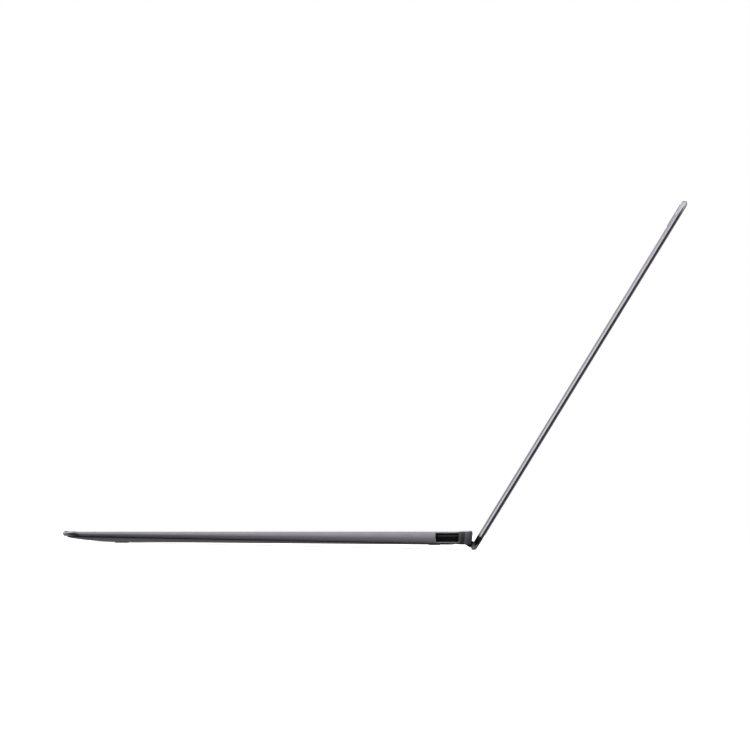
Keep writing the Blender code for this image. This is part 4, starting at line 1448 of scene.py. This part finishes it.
    def key_frame(self) -> None:
        """The grid between the keys, in the deck's metal, with a fine bright rim round each key."""
        shell = self.shell
        front, rear = shell.keys_front - shell.frame_margin, shell.keys_rear + shell.frame_margin
        plate = new_object("key_frame_grid", slab(inset_by(
            -shell.frame_half, shell.frame_half, front, rear, 1.2, 6),
            -self.frame_thick, 0.0, 0.01, steps=1), [Look.SHELL, Look.EDGE])
        holes = bmesh.new()
        grow = self.gap / 2 - self.clearance
        for _, left, right, low, high in self.keys():
            opening = inset_by(left + grow, right - grow, low + grow, high - grow, self.corner + 0.25, 5, 1.0)
            rings = []
            for inset, level in ((0.0, -2.0), (0.0, -0.12), (-0.12, 0.0), (-0.62, 0.5)):
                rings.append([holes.verts.new((x, y, level)) for x, y in opening(inset)])
            for number, (lower, upper) in enumerate(zip(rings, rings[1:])):
                for i, vertex in enumerate(lower):
                    j = (i + 1) % len(lower)
                    holes.faces.new((vertex, lower[j], upper[j], upper[i])).material_index = int(number > 0)
            holes.faces.new(rings[0])
            holes.faces.new(rings[-1])
        carve(plate, [new_object("key_holes", holes, [Look.SHELL, Look.EDGE])])
        self.bench.hand_over(plate, "base", "frame", "keyboard_frame", smooth=28.0)

    def run_of_caps(self, node: str, run: Sequence[Place]) -> bpy.types.Object:
        """Caps of one size side by side.

        Args:
            node: The bank's node.
            run: Edges of each key's place.

        Returns:
            The caps as one object.
        """
        left, right, front, rear = run[0]
        half_x, half_y = (right - left - self.gap) / 2, (rear - front - self.gap) / 2
        cap = new_object(node, self.cap(half_x, half_y), [Look.KEY])
        pitch = right - left
        centre = ((left + right) / 2 + pitch * (len(run) - 1) / 2, (front + rear) / 2, 0.0)
        return self.scatter.spread(cap, Look.KEY, len(run), 1, (pitch, 1.0), centre)

    def cap(self, half_x: float, half_y: float) -> bmesh.types.BMesh:
        """One key cap with a rounded rim and a dished top.

        Args:
            half_x: Half its width.
            half_y: Half its depth.

        Returns:
            The bmesh, centred on its own origin.
        """
        loft = Loft()
        low = self.top - self.thickness
        flat, rim = self.top - self.rim_step, 0.62
        outline = inset_by(-half_x, half_x, -half_y, half_y, self.corner, 4, 0.7)
        for inset, level in ((0.25, low), (0.0, low + 0.25), (0.0, self.top - 0.42), (0.04, self.top - 0.22),
                             (0.14, self.top - 0.08), (0.3, self.top), (rim, flat)):
            loft.ring(outline(inset), level)
        for share in (0.72, 0.45, 0.18):
            x, y = (half_x - rim) * share, (half_y - rim) * share
            loft.ring(round_outline(-x, x, -y, y, self.corner * share, 4),
                      flat - self.dish * (1 - share ** 2))
        return loft.close()


@dataclass
class DeckControls:
    """Touchpad and power button."""

    bench: Bench
    shell: Shell

    def build(self) -> None:
        """Build both."""
        shell = self.shell
        rear = shell.keys_front - shell.frame_margin - shell.palm
        pad = new_object("touchpad_glass", slab(inset_by(
            -shell.pad_half, shell.pad_half, shell.palm, rear, 3.0, 10, 1.0),
            -1.0, -0.06, 0.22, steps=4), [Look.PAD])
        self.bench.hand_over(pad, "touchpad", "touch_glass", "touchpad")
        button = Loft().turned((shell.speaker_x, shell.depth - shell.power_from_rear), 72, (
            (4.9, -0.9), (4.96, -0.4), (4.9, -0.18), (4.62, -0.06, 1),
            (4.5, -0.07), (3.4, -0.16), (2.0, -0.22), (0.7, -0.25)))
        cap = new_object("power_button_cap", button.close(), [Look.DIAL, Look.EDGE])
        self.bench.hand_over(cap, "power_button", "shell", "power_button", smooth=26.0)


@dataclass
class Sockets:
    """The sockets in the side walls, each with its sleeve, tongue and contacts."""

    bench: Bench
    scatter: Scatter
    shell: Shell

    def build(self) -> None:
        """Build every socket."""
        half, level = self.shell.half, self.shell.socket_level
        self.sleeve("usb_a_socket", "usb_a_port", (half - 2.0, half - 13.2), (self.shell.usb_a_y, -3.68),
                    (6.4, 2.58), 0.3, 0.28, (5.5, -2.65, 0.6), (4, 2.5, 1.0))
        for y, place in zip(self.shell.usb_c_rows, ("rear", "front")):
            self.sleeve(f"usb_c_socket_{place}", f"usb_c_port_{place}", (-half + 0.25, -half + 8.0),
                        (y, level), (4.47, 1.6), 1.58, 0.3, (3.3, level, 0.34), (8, 0.78, 0.4))
        self.jack()

    def sleeve(self, name: str, node: str, ends: Point2, middle: Point2, half: Point2, radius: float,
               wall: float, tongue: tuple[float, float, float], pins: tuple[int, float, float]) -> None:
        """A metal sleeve that is closed at its back, with a tongue and gilt contacts.

        Args:
            name: The piece's name.
            node: The node that it stands for.
            ends: X of its mouth and of its back.
            middle: Its centre, Y and Z.
            half: Half its size along Y and along Z.
            radius: Corner radius.
            wall: Wall thickness.
            tongue: Half the tongue's width, its height and half its thickness.
            pins: Number of contacts, their pitch and their width.
        """
        mouth, back = ends
        inward = math.copysign(1.0, back - mouth)
        y, z = middle

        def outline(inset: float) -> Outline:
            """The sleeve's section, set in."""
            return round_outline(y - half[0] + inset, y + half[0] - inset, z - half[1] + inset,
                                 z + half[1] - inset, max(radius - inset, 0.05), 6)

        loft = Loft("X")
        loft.ring(outline(wall), back - inward * 0.6).ring(outline(wall), mouth + inward * 0.1)
        loft.ring(outline(wall * 0.55), mouth).ring(outline(0.06), mouth)
        loft.ring(outline(0.0), mouth + inward * 0.08).ring(outline(0.0), back)
        parts = [new_object(name, loft.close(1, 0), [Look.STEEL, Look.BLACK])]
        wide, level, thick = tongue
        tip = mouth + inward * (1.1 if wide > 4 else 0.9)
        blade = slab(inset_by(y - wide, y + wide, level - thick, level + thick, 0.2, 3),
                     *sorted((tip, back - inward * 0.3)), 0.12, "X")
        parts.append(new_object(name + "_tongue", blade, [Look.DARK]))
        count, pitch, width = pins
        pin = slab(inset_by(-2.6, 2.6, -width / 2, width / 2, 0.08, 2), -0.03, 0.05, 0.02)
        parts.append(self.scatter.spread(new_object(name + "_pins", pin, [Look.GOLD]), Look.GOLD, 1, count,
                                         (1.0, pitch), (tip + inward * 3.4, y, level - thick - 0.02)))
        self.bench.hand_over(merge(name, parts), "base", "steel", node, smooth=35.0)

    def jack(self) -> None:
        """The round audio socket with a bright ring at its mouth."""
        wall = -self.shell.half
        loft = Loft("X").turned((self.shell.jack_y, self.shell.socket_level), 40, (
            (1.7, wall + 11.0, 1), (1.7, wall + 0.5, 1), (1.85, wall + 0.3),
            (2.05, wall + 0.3), (2.1, wall + 0.4), (2.1, wall + 12.3, 1)))
        socket = new_object("audio_socket", loft.close(1, 1), [Look.STEEL, Look.BLACK])
        self.bench.hand_over(socket, "base", "inner_plastic", "audio_jack")


@dataclass
class Lid:
    """Lid cover, screen glass, camera, bumper strip, hinge cover and lower pads, drawn closed."""

    bench: Bench
    shell: Shell
    inner: float = 4.9
    thick: float = 3.3
    tail: float = 3.11
    rim: float = 1.25
    chin: float = 9.0
    border: float = 4.6
    brow: float = 7.4
    band: float = 4.6
    barrel: float = 3.1
    pad_x: float = 100.0
    pad_half: float = 30.0

    def plan(self, side: float, front: float, rear: float, corner: float = 9.5) -> Outline:
        """The lid's outline.

        Args:
            side: How far it is set in at its sides.
            front: The same at its free end.
            rear: The same at its hinge end.
            corner: Corner radius.

        Returns:
            The outline.
        """
        half = self.shell.half
        return round_outline(-half + side, half - side, -self.bench.hinge_y + front, self.tail - rear,
                             corner, 12)

    def build(self) -> None:
        """Build every piece of the lid."""
        self.cover()
        self.glass()
        self.camera()
        self.bumper()
        self.hinge_cover()
        self.chin_band()
        self.pads()

    def cover(self) -> None:
        """The metal back of the lid, a shallow tray with a polished inner rim."""
        outer = self.inner + self.thick
        loft = Loft()
        inside = self.plan(self.rim, self.rim, self.tail + self.band, 8.2)
        loft.ring(inside, outer - 0.9).ring(inside, self.inner + 0.12)
        loft.ring(self.plan(self.rim - 0.1, self.rim - 0.1, 0.6, 8.3), self.inner)
        tip, base = -0.85, self.inner + 1.88
        for side, front, rear, level, finish in ((0.62, 0.3, 0.2, 0.0, 0), (0.55, 0.1, 0.12, 0.08, 0),
                                                 (0.53, -0.5, 0.12, 1.06, 0), (0.5, -0.55, 0.1, 1.1, 1),
                                                 (0.02, tip, 0.02, 1.84, 1)):
            loft.ring(self.plan(side, front, rear), self.inner + level, finish)
        start, steps = math.radians(9.0), 9
        loft.ring(self.plan(0.0, tip, 0.0), base)
        for step in range(1, steps + 1):
            turn = start + (math.pi / 2 - start) * step / steps
            run = math.cos(start) - math.cos(turn)
            rise = (math.sin(turn) - math.sin(start)) / (1 - math.sin(start))
            loft.ring(self.plan(1.9 * run, 2.8 * run + tip, 1.9 * run), base + (outer - base) * rise,
                      0 if step < steps - 1 else 3)
        back = new_object("lid_back", loft.close(0, 3), [Look.SHELL, Look.STREAK, Look.DARK, Look.BACK])
        cutters = []
        for side in (-1, 1):
            x, half = side * self.pad_x, self.pad_half + 0.1
            cutters.append(new_object("pad_cut", slab(inset_by(x - half, x + half, 5.72, 6.9, 0.5, 5),
                                                      self.tail - 0.6, self.tail + 2.0, 0.01), [Look.SHELL]))
            cutters[-1].data.transform(self.swap())
        carve(back, cutters)
        end = -self.bench.hinge_y
        for start, stop, reach in ((-self.band, -0.3, 4.5), (self.tail - 0.45, self.tail + 1.0, 9.6),
                                   (end - 2.0, end - 0.45, self.shell.width)):
            self.darken(back, start, stop, reach)
        self.bench.hand_over(back, "lid", "shell", "lid_cover", smooth=26.0, in_lid=True)

    def darken(self, obj: bpy.types.Object, start: float, stop: float, reach: float) -> None:
        """Give the cover's edges dark inlays, between two places along it.

        Args:
            obj: The cover, whose third finish is the dark one.
            start: Y of the end nearer the screen.
            stop: Y of the end nearer the hinge.
            reach: How far in from the sides it goes.
        """
        with edited(obj) as bm:
            for y in (start, stop):
                bmesh.ops.bisect_plane(bm, geom=bm.verts[:] + bm.edges[:] + bm.faces[:], dist=1e-7,
                                       plane_co=(0.0, y * MM, 0.0), plane_no=(0.0, 1.0, 0.0))
            for face in bm.faces:
                middle = face.calc_center_median() / MM
                if start < middle.y < stop and abs(middle.x) > self.shell.half - reach:
                    face.material_index = 2

    @staticmethod
    def swap() -> Matrix:
        """Turns a shape drawn over X and Z, and stacked along Z, to stand along Y."""
        return Matrix(((1, 0, 0, 0), (0, 0, 1, 0), (0, 1, 0, 0), (0, 0, 0, 1)))

    def glass(self) -> None:
        """The front glass with its black border and the dark screen behind it."""
        low = self.inner + 0.02
        end = self.tail + self.band - 0.06
        edge = self.rim + 0.06
        loft = Loft()
        for inset, rise, corner in ((0.0, 0.75, 8.1), (0.0, 0.14, 8.1), (0.05, 0.05, 8.1), (0.16, 0.0, 8.0)):
            loft.ring(self.plan(edge + inset, edge + inset, end + inset, corner), low + rise)
        loft.ring(self.plan(edge + self.border, edge + self.brow, end + self.chin, 1.2), low)
        glass = new_object("screen_and_glass", loft.close(0, 1), [Look.BORDER, Look.SCREEN])
        self.bench.hand_over(glass, "lid", "display_glass", "display_glass", "display_panel", smooth=30.0,
                             in_lid=True)

    def camera(self) -> None:
        """The camera's lens and its little lamp, flush behind the glass."""
        y = -self.bench.hinge_y + 5.0
        level = self.inner + 0.02
        lens = Loft().turned((0.0, y), 48, ((2.0, level + 0.4), (2.0, level - 0.012), (1.72, level - 0.012),
                                            (1.6, level, 1), (0.9, level - 0.008, 1)))
        eye = new_object("camera_lens", lens.close(0, 1), [Look.DARK, Look.LENS])
        lamp = Loft().turned((6.0, y), 24, ((0.55, level + 0.4), (0.55, level - 0.01), (0.4, level - 0.014)))
        light = new_object("camera_lamp", lamp.close(), [Look.LEGEND])
        self.bench.hand_over(merge("webcam_eye", [eye, light]), "lid", "board", "webcam_module", in_lid=True)

    def bumper(self) -> None:
        """The rubber strip near the lid's free end."""
        half, end = self.shell.half, -self.bench.hinge_y
        loft = Loft("X")
        spine = [(-half + 12.0, 0.1), (-half + 12.5, 0.7), (-half + 14.0, 1.0),
                 (half - 14.0, 1.0), (half - 12.5, 0.7), (half - 12.0, 0.1)]
        for x, size in spine:
            loft.ring([(end + 2.95 + 1.3 * math.cos(a) * (0.6 + 0.4 * size),
                        self.inner + 0.15 - 0.35 * size * max(math.sin(a), -0.3))
                       for a in [2 * math.pi * i / 24 for i in range(24)]], x)
        strip = new_object("lid_bumper_strip", loft.close(), [Look.RUBBER])
        self.bench.hand_over(strip, "lid", "rubber", "lid_bumper", in_lid=True)

    def hinge_cover(self) -> None:
        """The barrel and its neck, between the base's ears."""
        neck, top = -0.28, self.inner - 0.05
        sweep = 2 * math.pi - math.acos(neck / self.barrel)
        section = [(self.barrel * math.cos(-sweep * i / 44), self.barrel * math.sin(-sweep * i / 44))
                   for i in range(45)]
        section += [(neck, top), (self.barrel, top)]
        loft = Loft("X")
        half = self.shell.ear_inner - 0.45
        for x, size in ((-half, 0.955), (-half + 0.06, 0.985), (-half + 0.2, 1.0),
                        (half - 0.2, 1.0), (half - 0.06, 0.985), (half, 0.955)):
            loft.ring([(y * size, z * size if z < 3.2 else z) for y, z in section], x)
        cover = new_object("hinge_barrel", loft.close(), [Look.DARK])
        self.bench.hand_over(cover, "lid", "frame", "hinge_cover", smooth=34.0, in_lid=True)

    def chin_band(self) -> None:
        """The dark band across the foot of the screen, from edge to edge."""
        half = self.shell.half
        outline = inset_by(-half + 0.7, half - 0.7, 0.02 - self.band, self.tail - 0.55, 1.5, 6)
        band = new_object("chin_band", slab(outline, self.inner - 0.06, self.inner + 0.3, 0.12), [Look.DARK])
        self.bench.hand_over(band, "lid", "frame", in_lid=True)

    def pads(self) -> None:
        """Two rubber pads in the lid's lower edge, which the open laptop stands on."""
        for side, name in ((-1, "left"), (1, "right")):
            x, half = side * self.pad_x, self.pad_half
            pad = new_object(f"lid_pad_{name}_strip", slab(inset_by(x - half, x + half, 5.8, 6.83, 0.45, 6),
                                                           self.tail - 0.5, self.tail + 0.23, 0.15),
                             [Look.RUBBER])
            pad.data.transform(self.swap())
            with edited(pad) as bm:
                bmesh.ops.recalc_face_normals(bm, faces=bm.faces)
            self.bench.hand_over(pad, "lid", "rubber", f"lid_pad_{name}", in_lid=True)


@dataclass
class Inside:
    """Finishes for the frame's own inner pieces, which show through the slots or when it is taken apart."""

    bench: Bench
    looks: dict[str, Look] = field(default_factory=lambda: {
        "steel": Look.STEEL, "board": Look.BOARD, "copper": Look.COPPER, "inner_plastic": Look.DARK,
        "frame": Look.DARK, "rubber": Look.RUBBER, "shell": Look.SHELL, "cover": Look.COVER})

    def build(self) -> None:
        """Dress every node that no piece stands for."""
        slots = {part["node"]: part["material_slot"] for part in frame["record"]["subparts"]}
        for name, obj in frame["nodes"].items():
            if name in self.bench.replaced:
                continue
            look = self.looks.get(slots.get(name, ""), Look.DARK)
            for slot in obj.material_slots:
                slot.material = look.material
            log.info("%s keeps its shape, in %s", name, look.value.name)


@dataclass
class Studio:
    """Floor, light and camera."""

    bench: Bench
    distance: float = 4429.0
    lens: float = 400.0
    eye: Point2 = (221.8, 0.0)
    aim: Point2 = (165.71, 82.8)
    side: float = 152.0

    def build(self) -> None:
        """Build the studio."""
        self.floor()
        self.world()
        self.lights()
        self.camera()
        bpy.context.scene.view_settings.view_transform = "Standard"

    def floor(self) -> None:
        """A wide pale floor."""
        bm = bmesh.new()
        bmesh.ops.create_grid(bm, x_segments=1, y_segments=1, size=14000.0)
        floor = new_object("studio_floor", bm, [Look.PAPER])
        floor.visible_glossy = floor.visible_diffuse = False

    def world(self) -> None:
        """White to the eye; what the metal mirrors is bright above, dark below and dark at the corners."""
        sky = Sky("studio_world")
        direction = sky.node("ShaderNodeTexCoord").outputs["Generated"]
        axes = sky.node("ShaderNodeSeparateXYZ", {"Vector": direction})
        across = sky.reckon("ABSOLUTE", axes.outputs["Y"])
        round_about = sky.reckon("ARCTAN2", across, axes.outputs["X"])
        height = sky.curve(sky.between(axes.outputs["Z"], 0.0, 1.0, -1.0, 1.0), (
            (0.0, 0.06), (0.33, 0.05), (0.40, 0.26), (0.45, 0.95), (0.49, 1.35), (0.56, 1.55), (0.66, 1.2),
            (1.0, 0.8)))
        under = sky.reckon("MULTIPLY", sky.between(axes.outputs["Z"], 0.0, 1.0, -0.1, -0.3),
                         sky.between(axes.outputs["X"], 0.0, 0.24, 0.4, -0.2))
        flags = sky.curve(sky.between(round_about, 0.0, 1.0, 0.0, math.pi), (
            (0.0, 1.0), (0.06, 0.7), (0.1, 0.35), (0.16, 0.14), (0.24, 0.04), (0.46, 0.03), (0.54, 0.25),
            (0.62, 0.9), (0.72, 1.1), (0.8, 0.6), (0.87, 0.08), (1.0, 0.05)))
        high = sky.between(axes.outputs["Z"], 0.0, 1.0, 0.3, 0.55)
        cards = sky.reckon("MAXIMUM", flags, high)
        sky.shine(sky.reckon("ADD", sky.reckon("MULTIPLY", height, cards), under))

    def lights(self) -> None:
        """Large soft lamps: overhead, beside the camera's axis, in front and behind."""
        for name, place, power, size in (("overhead", (0.1, -0.1, 1.9), 12.0, (2.2, 2.2)),
                                         ("side", (2.75, 0.0, 1.45), 14.0, (2.6, 1.0)),
                                         ("front", (0.5, -2.3, 1.2), 8.0, (1.6, 1.0)),
                                         ("rear", (-1.2, 1.9, 1.5), 7.0, (1.6, 1.0))):
            data = bpy.data.lights.new(name, "AREA")
            data.shape, data.energy, (data.size, data.size_y) = "RECTANGLE", power, size
            lamp = bpy.data.objects.new(name, data)
            lamp.location = place
            lamp.rotation_euler = (-Vector(place)).to_track_quat("-Z", "Y").to_euler()
            lamp.visible_camera = False
            bpy.context.collection.objects.link(lamp)

    def camera(self) -> None:
        """A long lens at deck height on the right-hand side, level with the deck."""
        data = bpy.data.cameras.new("camera")
        data.lens, data.clip_end = self.lens, 100.0
        camera = bpy.data.objects.new("camera", data)
        bpy.context.collection.objects.link(camera)
        eye = self.bench.base @ (Vector((self.side + self.distance, *self.eye)) * MM)
        aim = self.bench.base @ (Vector((self.side, *self.aim)) * MM)
        up = self.bench.base.to_3x3() @ Vector((0, 0, 1))
        back = (eye - aim).normalized()
        right = up.cross(back).normalized()
        turn = Matrix((right, back.cross(right), back)).transposed().to_4x4()
        camera.matrix_world = Matrix.Translation(eye) @ turn
        bpy.context.scene.camera = camera


def main() -> None:
    """Build the laptop and its studio, in order."""
    for stray in ("Cube", "Light", "Camera"):
        if stray in bpy.data.objects and stray not in frame["nodes"]:
            drop(bpy.data.objects[stray])
    bench = Bench()
    scatter = Scatter()
    shell = Shell()
    Chassis(bench, scatter, shell).build()
    Keyboard(bench, scatter, shell).build()
    DeckControls(bench, shell).build()
    Sockets(bench, scatter, shell).build()
    Lid(bench, shell).build()
    Inside(bench).build()
    Studio(bench).build()
    log.info("replaced %d nodes", len(bench.replaced))


if __name__ == "__main__":
    main()
